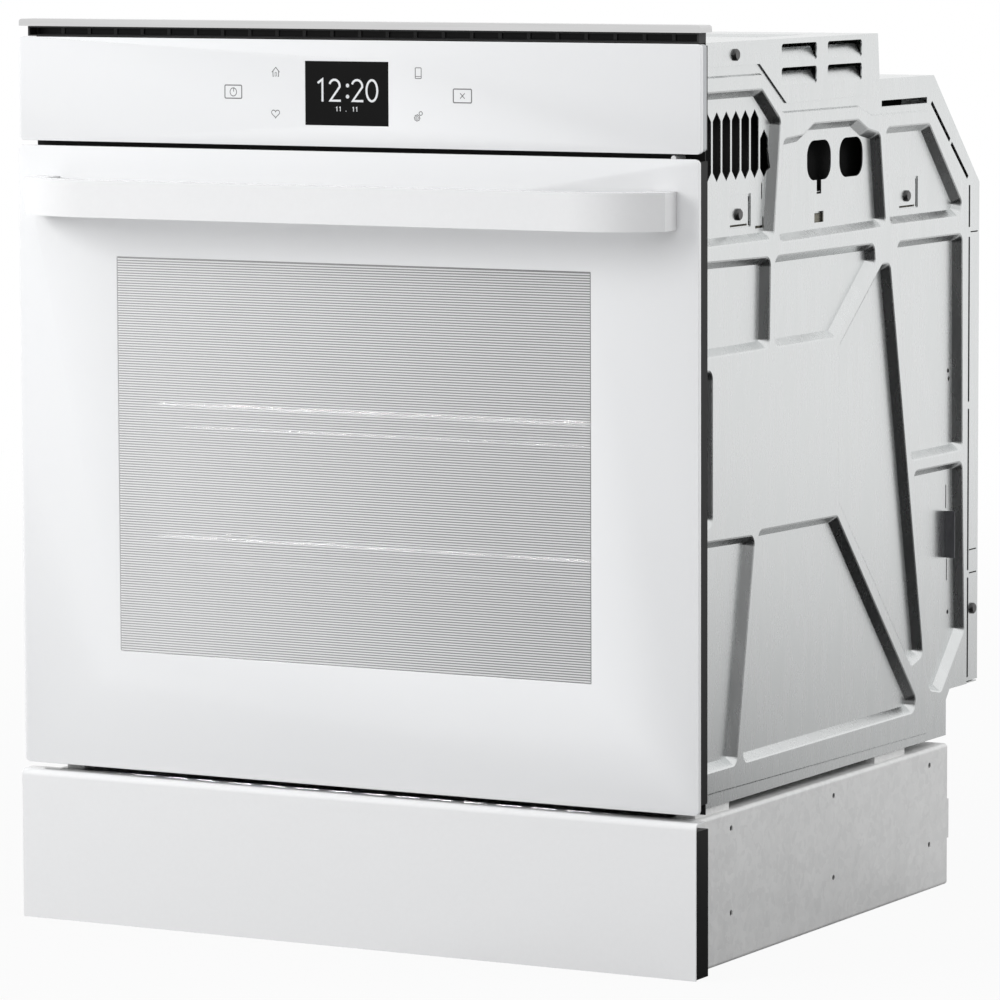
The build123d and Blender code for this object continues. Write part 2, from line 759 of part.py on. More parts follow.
def wire_rack(level):
    """A sliding wire shelf on the rails of one level: a bent frame with a cross wire and slats on top."""
    z = rail_height_at(level) + rail_wire + air + rack_wire
    half = rack_half
    middle = (rack_front + rack_back) / 2
    corners = [(half, rack_front, z), (half, rack_back, z), (-half, rack_back, z), (-half, rack_front, z)]
    loop = FilletPolyline(*corners, radius=rack_bend, close=True)
    rack = sweep(Plane(origin=loop @ 0, z_dir=loop % 0) * Circle(rack_wire), path=loop)
    rack += rod_x(-half, half, middle, z, rack_wire - 0.5)
    pitch = 2 * half / (slat_count + 1)
    for index in range(slat_count):
        x = -half + pitch * (index + 1)
        rack += rod_y(x, rack_front, rack_back, z + rack_wire + slat_wire / 2, slat_wire)
    return rack


parts["rack_supports"] = both(rack_support())
parts["rack_lower"] = wire_rack(1)
parts["rack_upper"] = wire_rack(3)


# ---- heating elements ---------------------------------------------------------------------
terminal_end = cavity_back + 18.0


def serpentine(z, front_y, rear_y):
    """A flat winding heater with two ends that leave through the back wall."""
    s = broil_terminal_x
    left = [(-s, terminal_end), (-s, rear_y), (-176, rear_y), (-176, front_y), (-106, front_y),
            (-106, rear_y - 50), (-36, rear_y - 50), (-36, front_y)]
    right = [(-x, y) for x, y in reversed(left)]
    return tube_path([(x, y, z) for x, y in left + right], 19, element_radius)


def terminal_flange(z):
    """The small plate that holds a heater's ends against the inside of the back wall."""
    return block(-34, 34, cavity_back - air - 1.2, cavity_back - air, z - 9, z + 9)


def ring_heater():
    """The round heater about the convection fan."""
    y = cavity_back - 20
    ring = Pos(0, y, cavity_mid) * Rot(90, 0, 0) * Torus(ring_radius, element_radius)
    for side in (-1, 1):
        ring += rod_y(side * ring_terminal_x, y, terminal_end, ring_terminal_z, element_radius)
    ring += terminal_flange(ring_terminal_z)
    return ring


parts["broil_element"] = serpentine(broil_z, cavity_front + 55, cavity_back - 52) + terminal_flange(broil_z)
for side in (-1, 1):
    parts["broil_element"] += rod_z(side * 71, cavity_front + 55, broil_z, cavity_top, 2)
parts["bake_element"] = serpentine(bake_z, cavity_front + 55, cavity_back - 52)
parts["convection_element"] = ring_heater()


# ---- convection fan, baffle and motor ------------------------------------------------------
fan_back = cavity_back - 8.0
fan_front = fan_back - fan_depth
motor_front = cavity_back + sheet + 12.0


def convection_fan():
    """A paddle wheel on its motor shaft."""
    fan = rod_y(0, fan_back - sheet, fan_back, cavity_mid, fan_radius)
    fan += rod_y(0, fan_front, fan_back, cavity_mid, 11)
    for index in range(10):
        blade = block(26, fan_radius - 2, fan_front, fan_back, -0.6, 0.6)
        fan += Pos(0, 0, cavity_mid) * Rot(0, 36 * index, 0) * blade
    fan += rod_y(0, fan_back - 1, motor_front + motor_length - 2, cavity_mid, shaft_radius)
    return fan


def convection_baffle():
    """The tray over the fan: a pierced intake in the middle and outlets in its rim."""
    half, tall = cavity_half - baffle_side_gap, cavity_height / 2 - baffle_end_gap
    low, high = cavity_mid - tall, cavity_mid + tall
    front = cavity_back - baffle_stand
    tray = block(-half, half, front, cavity_back - air, low, high)
    tray -= block(-half + sheet, half - sheet, front + sheet, cavity_back, low + sheet, high - sheet)
    tray -= rod_y(0, front - 1, front + 2, cavity_mid, 5)
    for ring, count in ((18, 8), (33, 14), (48, 20)):
        for index in range(count):
            angle = radians(360 / count * index)
            tray -= rod_y(ring * cos(angle), front - 1, front + 2, cavity_mid + ring * sin(angle), 4.5)
    for row in range(5):
        z = cavity_mid - 96 + 48 * row
        tray -= block(-half - 1, half + 1, front + 14, front + 30, z - 16, z + 16)
    return tray


def convection_motor():
    """The fan motor on its four-legged bracket behind the cavity."""
    plate_y = cavity_back + sheet
    motor = rod_y(0, motor_front, motor_front + motor_length, cavity_mid, motor_radius)
    motor += block(-44, 44, motor_front, motor_front + 2, cavity_mid - 12, cavity_mid + 12)
    for side in (-1, 1):
        motor += rod_y(side * 38, plate_y, motor_front + 2, cavity_mid, 4)
    motor -= rod_y(0, motor_front - 1, motor_front + motor_length + 1, cavity_mid, shaft_radius + running)
    return motor


parts["convection_fan"] = convection_fan()
parts["convection_baffle"] = convection_baffle()
parts["convection_motor"] = convection_motor()


# ---- oven light and sensors -----------------------------------------------------------------
def lamp_housing():
    """The steel cup behind the liner that holds the bulb and the lens thread."""
    back = cavity_back + sheet
    cup = rod_y(lamp_x, back, back + 30, lamp_z, lamp_radius + 5)
    cup -= rod_y(lamp_x, back - 1, back + 28, lamp_z, lamp_radius + 1)
    return cup


def lamp_lens():
    """The ribbed glass dome screwed into the housing."""
    neck = cavity_back + 8
    face = cavity_back - 12
    lens = rod_y(lamp_x, face, neck, lamp_z, lamp_radius + 1 - air)
    lens = fillet(lens.edges().group_by(Axis.Y)[0], 6)
    lens -= rod_y(lamp_x, face + 2.5, neck + 1, lamp_z, lamp_radius - 3)
    return lens


def lamp_bulb():
    """The halogen capsule and its ceramic base."""
    back = cavity_back + sheet + 28
    bulb = rod_y(lamp_x, back - 12, back, lamp_z, 9)
    bulb += rod_y(lamp_x, back - 28, back - 12, lamp_z, 5.5)
    return bulb + Pos(lamp_x, back - 28, lamp_z) * Sphere(5.5)


def temperature_sensor():
    """The probe that reaches into the upper left of the cavity."""
    probe = rod_y(-lamp_x, cavity_back - 84, cavity_back + 18, lamp_z, 3)
    probe += block(-lamp_x - 14, -lamp_x + 14, cavity_back - air - 1.2, cavity_back - air, lamp_z - 8,
                   lamp_z + 8)
    return probe


def thermal_cutout():
    """The bimetal safety switch on the deck: a foot, a can and two terminals."""
    x, y, z = cutout_x, cutout_y, top_plate_z + sheet
    can_top = z + cutout_can_height
    switch = block(x - 20, x + 20, y - 8, y + 8, z, z + 1.5) + rod_z(x, y, z, can_top, 8)
    for side in (-1, 1):
        pin = x + 5 * side
        switch += block(pin - 1, pin + 1, y - 4, y + 4, can_top, can_top + 7)
    return switch


parts["lamp_housing"] = lamp_housing()
parts["lamp_lens"] = lamp_lens()
parts["lamp_bulb"] = lamp_bulb()
parts["temperature_sensor"] = temperature_sensor()
parts["thermal_cutout"] = thermal_cutout()


# ---- cooling blower --------------------------------------------------------------------------
def blower_outline(inset):
    """The snail outline of the blower, its wall set in by inset."""
    radius = blower_radius - inset
    drum = rod_z(0, blower_y, blower_low + inset, blower_high - inset, radius)
    mouth = block(-20 + inset, radius, f + 100, blower_y, blower_low + inset, blower_high - inset)
    return drum + mouth


def blower_housing():
    """The volute that throws the cooling air forward, on four legs."""
    shell = blower_outline(0) - blower_outline(sheet)
    shell -= block(-20 + sheet, blower_radius - sheet, f + 98, f + 104, blower_low + sheet,
                   blower_high - sheet)
    shell -= rod_z(0, blower_y, blower_low - 1, blower_low + 2, 44)
    shell -= rod_z(0, blower_y, blower_high - 2, blower_high + 1, 9)
    for x in (-58, 58):
        for y in (blower_y - 50, blower_y + 50):
            shell += rod_z(x, y, top_plate_z + sheet, blower_low, 4)
    return shell


def blower_motor():
    """The shaded-pole motor on top of the volute."""
    core = rod_z(0, blower_y, blower_high, blower_high + 26, 30)
    core += block(-38, 38, blower_y - 10, blower_y + 10, blower_high, blower_high + 2)
    core += block(28, 46, blower_y - 16, blower_y + 16, blower_high + 4, blower_high + 24)
    return core - rod_z(0, blower_y, blower_high - 1, blower_high + 27, shaft_radius + running)


def cooling_impeller():
    """The squirrel-cage wheel on the blower shaft."""
    top = blower_high - sheet - 4
    low = blower_low + sheet + 4
    wheel = rod_z(0, blower_y, top - 1.5, top, impeller_radius)
    wheel += rod_z(0, blower_y, top - 14, top, 10)
    wheel += rod_z(0, blower_y, low, low + 2, impeller_radius) - rod_z(0, blower_y, low - 1, low + 3, 52)
    for index in range(24):
        blade = block(54, impeller_radius - 1, -0.6, 0.6, low, top)
        wheel += Pos(0, blower_y, 0) * Rot(0, 0, 15 * index) * blade
    return wheel + rod_z(0, blower_y, top - 2, blower_high + 24, shaft_radius)


parts["blower_housing"] = blower_housing()
parts["blower_motor"] = blower_motor()
parts["cooling_impeller"] = cooling_impeller()


# ---- electronics -----------------------------------------------------------------------------
def power_board():
    """The power board on its stand-offs, with relays, filter and heat sink."""
    x0, x1, y0, y1 = -240, -110, 130, 270
    low = top_plate_z + sheet + 8
    board = block(x0, x1, y0, y1, low, low + 1.6)
    for x in (x0 + 6, x1 - 6):
        for y in (y0 + 6, y1 - 6):
            board += rod_z(x, y, top_plate_z + sheet, low, 3)
    for index in range(4):
        board += block(x0 + 14 + 26 * index, x0 + 34 + 26 * index, y0 + 20, y0 + 48, low, low + 18)
    board += block(x0 + 20, x0 + 60, y0 + 66, y0 + 100, low, low + 28)
    board += rod_z(x1 - 30, y0 + 80, low, low + 26, 11)
    board += rod_z(x1 - 30, y0 + 108, low, low + 20, 8)
    for index in range(6):
        board += block(x0 + 18 + 7 * index, x0 + 20 + 7 * index, y0 + 108, y0 + 132, low, low + 24)
    return board


def terminal_box():
    """The mains terminal box in the back, with the conduit knock-out in its cover."""
    half = terminal_width / 2 - air
    x0, x1 = terminal_x - half, terminal_x + half
    z0, z1 = terminal_low + air, terminal_low + terminal_height - air
    back = chassis_rear
    box = block(x0, x1, back - terminal_depth, back, z0, z1)
    box -= block(x0 + sheet, x1 - sheet, back - terminal_depth + sheet, back - knockout_wall, z0 + sheet,
                 z1 - sheet)
    middle = (z0 + z1) / 2
    box -= rod_y(x0 + 24, back - knockout_wall - 1, back + 1, middle, knockout_radius)
    box += block(x0 + 44, x1 - 10, back - terminal_depth + sheet, back - terminal_depth + 14, middle - 8,
                 middle + 8)
    box += block(x0 - 6, x1 + 6, back - sheet - air - 1, back - sheet - air, z0 + 12, z1 - 12) - block(
        x0 + sheet / 2, x1 - sheet / 2, back - 10, back, z0, z1)
    return box


parts["power_board"] = power_board()
parts["terminal_box"] = terminal_box()


# ---- control panel ----------------------------------------------------------------------------
def control_glass():
    """The printed glass of the control panel."""
    outline = rectangle(-half_front, half_front, control_bottom, control_top)
    return from_front(control_set_back, outline, glass, glass_corner - 1)


def control_frame():
    """The moulded carrier behind the control glass, with a seat for the display."""
    half = half_front - 0.7
    low, high = control_bottom + 1.4, control_top - 0.3
    wall = 2.0
    frame = from_front(control_back, rectangle(-half, half, low, high), control_frame_depth, 3)
    frame -= block(-half + wall, half - wall, control_back + wall, control_frame_back + 1, low + wall,
                   high - wall)
    frame += display_seat(3.0)
    return frame - display_seat(air)


def display_seat(margin):
    """The space that the display takes in the carrier, grown by a margin."""
    half = display_width / 2 + margin
    return block(-half, half, control_back, control_back + display_depth + min(margin, 1),
                 display_low - margin, display_low + display_height + margin)


def control_carrier():
    """The black bracket between the control panel and the chassis."""
    half = half_front - 3
    low, high = control_bottom + 2.5, control_top - 1.5
    return frame_ring(half, low, high, recess_half, wiring_low, wiring_high,
                      control_frame_back, flange_front)


def control_board():
    """The touch and display board on the back of the carrier."""
    y = control_frame_back
    board = block(-140, 140, y + 0.6, y + 2.2, control_bottom + 12, control_top - 12)
    for x in (-132, 132):
        for z in (control_bottom + 18, control_top - 18):
            board += rod_y(x, control_back + 2, y + 1, z, 3)
    board += block(-30, 30, y + 2.2, y + 4, display_mid - 14, display_mid + 14)
    board += block(60, 100, y + 2.2, y + 7, display_mid - 8, display_mid + 8)
    board += block(-110, -84, y + 2.2, y + 6, display_mid - 18, display_mid + 2)
    return board


parts["control_glass"] = control_glass()
parts["control_frame"] = control_frame()
parts["control_carrier"] = control_carrier()
parts["control_board"] = control_board()
parts["display_screen"] = block(-display_width / 2, display_width / 2, control_back,
                                control_back + display_depth,
                                display_low, display_low + display_height)


# ---- air outlet and top trim -------------------------------------------------------------------
def vent_channel():
    """The black air outlet between the control panel and the top trim: two lips, two ends and a grille."""
    half = half_front - 4.5
    y0, y1 = control_set_back + 6, flange_front
    z0, z1 = control_top + air, trim_bottom - air
    lips = [block(-half, half, y0, y1, z0, z0 + 1), block(-half, half, y0, y1, z1 - 1, z1)]
    ends = [block(x, x + 1.5, y0, y1, z0 + 1, z1 - 1) for x in (-half, half - 1.5)]
    grille = block(-half + 1.5, half - 1.5, y1 - 1, y1, z0 + 1, z1 - 1)
    pitch = (2 * half - 3) / vent_bays
    for index in range(vent_bays):
        x = -half + 1.5 + pitch * (index + 0.5)
        grille -= block(x - pitch / 2 + 1.5, x + pitch / 2 - 1.5, y1 - 2, y1 + 1, z0 + 1.5, z1 - 1.5)
    return group(lips + ends + [grille])


def top_trim():
    """The bright strip that closes the top edge of the front."""
    half = half_front
    trim = block(-half, half, control_set_back, flange_back, trim_bottom, oven_top)
    trim = fillet(trim.edges().filter_by(Axis.Y).group_by(Axis.Z)[-1], 2.5)
    wall = flange_sheet
    return trim - block(-half + wall, half - wall, control_set_back + wall, flange_back + 1,
                        trim_bottom - 1, oven_top - wall)


parts["vent_channel"] = vent_channel()
parts["top_trim"] = top_trim()


# ---- door ---------------------------------------------------------------------------------------
def door_glass():
    """The outer pane of the door, the full size of the front."""
    pane = from_front(0, rectangle(-half_front, half_front, door_bottom, door_top), glass, glass_corner)
    for side in (-1, 1):
        pane -= rod_y(side * stud_x, -1, glass + 1, handle_z, stud_radius + running * 4)
    return pane


def door_stile():
    """The right-hand upright of the door frame, a folded channel."""
    outer, inner = frame_half, rail_half
    wall = flange_sheet
    stile = block(outer - wall, outer, glass, door_back, frame_low, frame_high)
    stile += block(inner, outer, glass, glass + wall, frame_low, frame_high)
    stile += block(inner, outer, door_back - wall, door_back, frame_low, frame_high)
    stile += block(outer - wall, outer, glass, door_back, frame_low, frame_low + wall)
    return stile - rod_y(stud_x, glass - 1, glass + wall + 1, handle_z, stud_radius + running * 4)


def door_rail(low, high, half, lip_low):
    """A cross rail of the door frame: a channel with its lip at the bottom or at the top."""
    wall = flange_sheet
    rail = block(-half, half, glass, glass + wall, low, high)
    rail += block(-half, half, door_back - wall, door_back, low, high)
    lip = low if lip_low else high - wall
    rail += block(-half, half, glass, door_back, lip, lip + wall)
    pitch = 2 * half / 16
    for index in range(16):
        x = -half + pitch * (index + 0.5)
        rail -= block(x - 10, x + 10, glass + 4, door_back - 4, lip - 1, lip + wall + 1)
    return rail


def door_liner():
    """The pressed inner tray of the door that carries the middle and inner panes."""
    wall = flange_sheet
    glass_in = pack_back - glass
    tray = block(-pack_half, pack_half, door_back, glass_in, pack_bottom, pack_top)
    tray -= block(-pack_half + wall, pack_half - wall, door_back + wall, glass_in + 1,
                  pack_bottom + wall, pack_top - wall)
    tray -= block(-window_half, window_half, door_back - 1, door_back + 2, window_low - 8, window_high + 8)
    for side in (-1, 1):
        x = side * hinge_x
        tray -= block(x - hinge_notch, x + hinge_notch, door_back - 1, door_back + 2, pack_bottom - 1,
                      pack_bottom + 46)
        tray -= block(x - hinge_notch, x + hinge_notch, door_back - 1, door_back + 6, pack_bottom - 1,
                      pack_bottom + 2)
    return tray


pane_half = window_half + 22.0
middle_front = door_back + flange_sheet + 5.0
middle_low = window_low - 20.0
middle_high = window_high + 20.0


def glass_spacers():
    """The rubber blocks at the corners that hold the middle pane between the liner and the inner pane."""
    blocks = []
    s = spacer_side
    for side in (-1, 1):
        for z in (middle_low + s, middle_high - s):
            x = side * (pane_half - s / 2)
            blocks.append(block(x - s / 2, x + s / 2, door_back + flange_sheet, middle_front, z - s, z + s))
            blocks.append(block(x - s / 2, x + s / 2, middle_front + glass, pack_back - glass, z - s,
                                z + s))
    return group(blocks)


parts["door_outer_glass"] = door_glass()
parts["door_frame_right"] = door_stile()
parts["door_frame_left"] = mirrored(door_stile())
parts["door_top_rail"] = door_rail(frame_high - rail_height, frame_high, rail_half, False)
parts["door_bottom_rail"] = door_rail(frame_low, frame_low + rail_height, hinge_x - hinge_notch, True)
parts["door_liner"] = door_liner()
parts["door_middle_glass"] = block(-pane_half, pane_half, middle_front, middle_front + glass, middle_low,
                                   middle_high)
parts["door_inner_glass"] = from_front(pack_back - glass,
                                       rectangle(-pack_half, pack_half, pack_bottom, pack_top),
                                       glass, glass_corner)
parts["glass_spacers"] = glass_spacers()


# ---- door handle -----------------------------------------------------------------------------------
def bow(depth, half):
    """A bow of this half length that stands handle_reach less depth in front of the glass."""
    reach = handle_reach - depth
    straight = handle_half - handle_bend
    rise = handle_reach - handle_end_depth
    radius = (handle_bend ** 2 + rise ** 2) / (2 * rise) - depth
    middle = Vector(straight, radius - reach)
    drop = (radius ** 2 - (half - straight) ** 2) ** 0.5
    end = (half, middle.Y - drop)
    arc_middle = (straight + radius * sin(0.5 * angle_of(half - straight, drop)),
                  middle.Y - radius * cos(0.5 * angle_of(half - straight, drop)))
    right = ThreePointArc((straight, -reach), arc_middle, end)
    left = ThreePointArc((-end[0], end[1]), (-arc_middle[0], arc_middle[1]), (-straight, -reach))
    front = Line((-straight, -reach), (straight, -reach))
    sides = [Line(end, (half, 0)), Line((half, 0), (-half, 0)), Line((-half, 0), (-end[0], end[1]))]
    low = handle_z - handle_height / 2
    return extrude(Pos(0, 0, low) * make_face([left, front, right] + sides), amount=handle_height)


def angle_of(across, along):
    """The angle in radians of a slope that goes across for each along."""
    return Vector(0, 1).get_angle(Vector(across, along)) * radians(1)


def door_handle():
    """The flat-faced bar whose ends curve back to the door glass."""
    bar = bow(0, handle_half)
    bar -= bow(handle_thickness, handle_half - handle_block)
    bar -= block(-half_front, half_front, -air, 5, door_bottom, door_top)
    for side in (-1, 1):
        bar -= rod_y(side * stud_x, -12, 1, handle_z, stud_radius)
    return bar


def handle_studs():
    """The two studs, with their nuts, that clamp the bar through the glass to the stiles."""
    inside = glass + flange_sheet
    studs = []
    for side in (-1, 1):
        stud = rod_y(side * stud_x, -12, inside + 5, handle_z, stud_radius)
        studs.append(stud + rod_y(side * stud_x, inside, inside + 3.5, handle_z, 7.5))
    return group(studs)


parts["door_handle"] = door_handle()
parts["handle_studs"] = handle_studs()


# ---- hinges -------------------------------------------------------------------------------------------
def claw_outline():
    """The fixed arm: from the eye on the hinge pin back into its receiver."""
    y, z = hinge_y, hinge_z
    return [(y, z - eye_radius), (flange_front + 2, z - eye_radius), (flange_front + 16, z + 2),
            (y + claw_reach, z + 2),
            (y + claw_reach, z + 2 + claw_height), (flange_front + 20, z + 2 + claw_height),
            (flange_front, z + eye_radius), (y, z + eye_radius)]


def hinge_claw():
    """The right-hand claw with the bore that the pin turns in."""
    thick = claw_thickness
    claw = from_side(hinge_x + thick / 2, claw_outline(), thick)
    claw += rod_x(hinge_x - thick / 2, hinge_x + thick / 2, hinge_y, hinge_z, eye_radius)
    return claw - rod_x(hinge_x - thick, hinge_x + thick, hinge_y, hinge_z, pin_radius + running)


def hinge_receiver():
    """The right-hand channel on the chassis that the claw hooks into."""
    inner = claw_thickness / 2 + air
    outer = inner + 2.5
    y0, y1 = cavity_front + air, claw_back + 8
    z0, z1 = hinge_z + 2 - air, hinge_z + 2 + claw_height + air
    channel = block(hinge_x - outer, hinge_x + outer, y0, y1, z0 - 2.5, z1 + 2.5)
    return channel - block(hinge_x - inner, hinge_x + inner, y0 - 1, claw_back + air, z0, z1)


def hinge_body():
    """The right-hand hinge cassette in the door: two cheeks and a web, astride the claw."""
    inner = claw_thickness / 2 + cheek_gap
    outer = inner + cheek_thickness
    y, z = hinge_y, hinge_z
    low_front, low_back = glass + flange_sheet / 4, door_back - air
    cheek = [(low_front, z - 3.6), (y + 4, z - 3.6), (low_back, z + 2), (low_back, pack_bottom + 12),
             (door_back + 8, pack_bottom + 22), (pack_back - glass - 2, pack_bottom + 26),
             (pack_back - glass - 2, z + hinge_body_height), (door_back + 3, z + hinge_body_height),
             (door_back + 3, pack_bottom + 44), (low_front, pack_bottom + 24)]
    body = Part()
    for x in (hinge_x - inner, hinge_x + outer):
        body += from_side(x, cheek, cheek_thickness)
    body += block(hinge_x - inner, hinge_x + inner, door_back + 3, door_back + 5.5, pack_bottom + 50,
                  z + hinge_body_height)
    return body - rod_x(hinge_x - outer - 1, hinge_x + outer + 1, y, z, pin_radius)


def hinge_pin():
    """The right-hand pin, held in the cheeks and turning in the claw."""
    outer = claw_thickness / 2 + cheek_gap + cheek_thickness
    return rod_x(hinge_x - outer, hinge_x + outer, hinge_y, hinge_z, pin_radius)


parts["hinge_claws"] = both(hinge_claw())
parts["hinge_receivers"] = both(hinge_receiver())
parts["hinge_bodies"] = both(hinge_body())
parts["hinge_pins"] = both(hinge_pin())


# ---- door switch -----------------------------------------------------------------------
def door_switch():
    """The light switch behind the front frame, with the bore of its plunger."""
    y0, y1 = flange_back, flange_back + switch_depth
    x0, x1 = plunger_x - 10.5, chassis_half - sheet - air
    z0, z1 = plunger_z - 7, plunger_z + 9
    wall = switch_wall
    body = block(x0, x1, y0, y1, z0, z1)
    body -= block(x0 + wall, x1 - wall, y0 + wall, y1 - wall, z0 + wall, z1 - wall)
    return body - rod_y(plunger_x, y0 - 1, y0 + 2, plunger_z, plunger_radius + running)


def switch_plunger():
    """The round plunger that the top edge of the door glass pushes in."""
    seat = flange_back + switch_wall + air + plunger_travel
    pin = rod_y(plunger_x, glass + air, seat + 1, plunger_z, plunger_radius)
    return pin + rod_y(plunger_x, seat, seat + 1, plunger_z, plunger_radius + 1)


parts["door_switch"] = door_switch()
parts["switch_plunger"] = switch_plunger()


# ---- filler under the oven -------------------------------------------------------------
def filler_panel():
    """The painted front of the filler, with a rounded top edge folded back."""
    wall = flange_sheet
    back = filler_face + filler_return
    solid = block(-half_front, half_front, filler_face, back, 0, filler_height)
    nose = solid.edges().filter_by(Axis.X).group_by(Axis.Z)[-1].sort_by(Axis.Y)[0]
    solid = fillet(nose, filler_nose)
    core = block(-half_front - 1, half_front + 1, filler_face + wall, back + 1, -1, filler_height - wall)
    inner = core.edges().filter_by(Axis.X).group_by(Axis.Z)[-1].sort_by(Axis.Y)[0]
    return solid - fillet(inner, filler_nose - wall)


def filler_frame():
    """The black frame between the painted front and the galvanised box."""
    half = half_front - 1
    w = filler_frame_width
    return frame_ring(half, 0.5, filler_height - flange_sheet - air - filler_nose, half - w, w,
                      filler_height - w, filler_frame_front + air, filler_frame_back)


def filler_holes(x0, x1):
    """Six fixing holes of a side wall, as cutters."""
    holes = []
    for column in range(3):
        for row in range(2):
            y = filler_frame_back + filler_hole_first_y + filler_hole_pitch_y * column
            z = filler_hole_first_z + filler_hole_pitch_z * row
            holes.append(rod_x(x0, x1, y, z, filler_hole_radius))
    return holes


def filler_box():
    """The galvanised box: floor, sides with folded edges and back."""
    half, back, high = filler_box_half, filler_box_back, filler_box_height
    front = filler_frame_back
    solid = block(-half, half, front, back, 0, high)
    solid = fillet(solid.edges().filter_by(Axis.Y), 3)
    core = block(-half + sheet, half - sheet, front - 1, back - sheet, sheet, high - sheet)
    box = solid - fillet(core.edges().filter_by(Axis.Y), 3 - sheet)
    box -= block(-half + 24, half - 24, front - 1, back - 24, high - 4, high + 1)
    box += both(block(half - 25, half - sheet, front, front + sheet, sheet, high - sheet))
    box += both(block(half - sheet, half, back, back + 3, 38, 70))
    box -= both(block(half - 6, half + 1, front - 1, front + 1.6, 52, high - 8))
    for hole in filler_holes(half - 3, half + 2):
        box -= both(hole)
    return box


def filler_spacers():
    """The four blocks between the box and the chassis."""
    blocks = []
    for y in (filler_frame_back + 14, filler_frame_back + 326):
        for side in (-1, 1):
            x0, x1 = sorted((side * (chassis_half - 17.5), side * (chassis_half - 1.5)))
            blocks.append(block(x0, x1, y, y + 56, filler_box_height, base_top - sheet))
    return group(blocks)


parts["filler_panel"] = filler_panel()
parts["filler_frame"] = filler_frame()
parts["filler_box"] = filler_box()
parts["filler_spacers"] = filler_spacers()


# ---- fasteners and clips ---------------------------------------------------------------
def side_screw(x, y, z, length):
    """A pan-head screw driven inwards through the right side at x."""
    head = rod_x(x, x + screw_head_height, y, z, screw_head)
    head = chamfer(head.edges().group_by(Axis.X)[-1], 1)
    return head + rod_x(x - length, x, y, z, screw_shank)


def rear_screw(x, z):
    """A pan-head screw driven forward through the rear wall."""
    head = rod_y(x, chassis_rear + seat_gap, chassis_rear + screw_head_height, z, screw_head)
    return chamfer(head.edges().group_by(Axis.Y)[-1], 1)


def chassis_screws():
    """All visible screws of the chassis, as separate solids in one group."""
    side = []
    for y, z in windows:
        seat = pad_floor - recess_step + seat_gap
        side.append(side_screw(seat, y + window_screw_y, z + window_screw_z, short_shank))
    for y, z in cover_screws:
        side.append(side_screw(cover_face + seat_gap, y, z, long_shank))
    for y, z in rear_screws:
        side.append(side_screw(rear_half + seat_gap, y, z, short_shank))
    pairs = [mirrored(screw) for screw in side]
    rear_x = chassis_half - 22
    rear = [rear_screw(x, z) for x in (-rear_x, rear_x) for z in (rear_low + 20, cavity_mid,
                                                                  chamfer_z - 20)]
    return group(side + pairs + rear)


def filler_screws():
    """The screws that join the box's front flanges to the black frame."""
    y = filler_frame_back + sheet
    screws = []
    for side in (-1, 1):
        for z in (20, filler_box_height - 20):
            screws.append(rod_y(side * (filler_box_half - 12), y, y + screw_head_height, z, screw_head))
    return group(screws)


def side_clip():
    """The bent cable tab on the rear pad: a foot on the pad and a leaf that stands out from it."""
    y, z0, z1 = r - 32.5, b + 144, b + 182
    foot = block(pad_floor, pad_floor + clip_sheet, y, y + 10, z0 + 2, z1 - 2)
    return foot + block(pad_floor, pad_floor + clip_reach, y - clip_sheet, y, z0, z1)


parts["chassis_screws"] = chassis_screws()
parts["filler_screws"] = filler_screws()
parts["side_clips"] = both(side_clip())


# ---- export ----------------------------------------------------------------------------
# The row's origin is the middle of the footprint, so every node moves forward by half the depth.
depth_middle = (chassis_rear + screw_head_height - handle_reach) / 2
os.makedirs("parts", exist_ok=True)
for name, shape in parts.items():
    export_step(Pos(0, -depth_middle, 0) * shape, f"parts/{name}.step")
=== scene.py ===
# %% [markdown]
# # A built-in wall oven, dressed
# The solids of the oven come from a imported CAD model. This lesson gives each of them the finish of the real
# material, and models again the few pieces that a plain solid can't show: the printed panes, the striped
# window and the signs on the touch panel. Every length is in metres, with +X to the right, +Y to the back
# and +Z up, and the oven stands on z = 0.

# %% Load the oven
import math
import bpy
from mathutils import Matrix, Vector


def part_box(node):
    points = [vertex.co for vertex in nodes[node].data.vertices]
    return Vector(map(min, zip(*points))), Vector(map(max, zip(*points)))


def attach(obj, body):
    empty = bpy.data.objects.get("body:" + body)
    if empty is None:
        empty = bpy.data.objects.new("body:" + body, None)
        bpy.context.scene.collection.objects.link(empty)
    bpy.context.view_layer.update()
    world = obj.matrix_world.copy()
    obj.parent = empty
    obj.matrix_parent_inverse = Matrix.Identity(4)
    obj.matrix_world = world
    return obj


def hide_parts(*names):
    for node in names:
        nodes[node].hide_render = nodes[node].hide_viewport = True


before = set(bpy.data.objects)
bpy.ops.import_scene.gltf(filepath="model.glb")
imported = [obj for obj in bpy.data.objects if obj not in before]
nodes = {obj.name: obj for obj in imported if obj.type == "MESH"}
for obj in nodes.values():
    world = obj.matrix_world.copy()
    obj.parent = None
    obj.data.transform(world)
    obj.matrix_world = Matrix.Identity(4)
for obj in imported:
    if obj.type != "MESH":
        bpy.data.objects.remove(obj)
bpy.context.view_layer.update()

# %% [markdown]
# ## The camera
# A long lens from far away keeps upright edges nearly parallel, as a catalogue view of an appliance has them.
# The camera stands 4.4 m off, a little above the oven and to its right. Its turn is built from three plain
# rotations: first the roll about its own axis, then the tilt down, then the swing about the vertical.

# %% Camera
lens_mm = 210.76
film_width_mm = 36.0
swing = math.radians(28.968)
tilt_down = math.radians(6.038)
roll = math.radians(-0.2043)
front_glass_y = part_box("door_outer_glass")[0].y
eye = Vector((2.24163, front_glass_y - 3.81362, 0.81137))

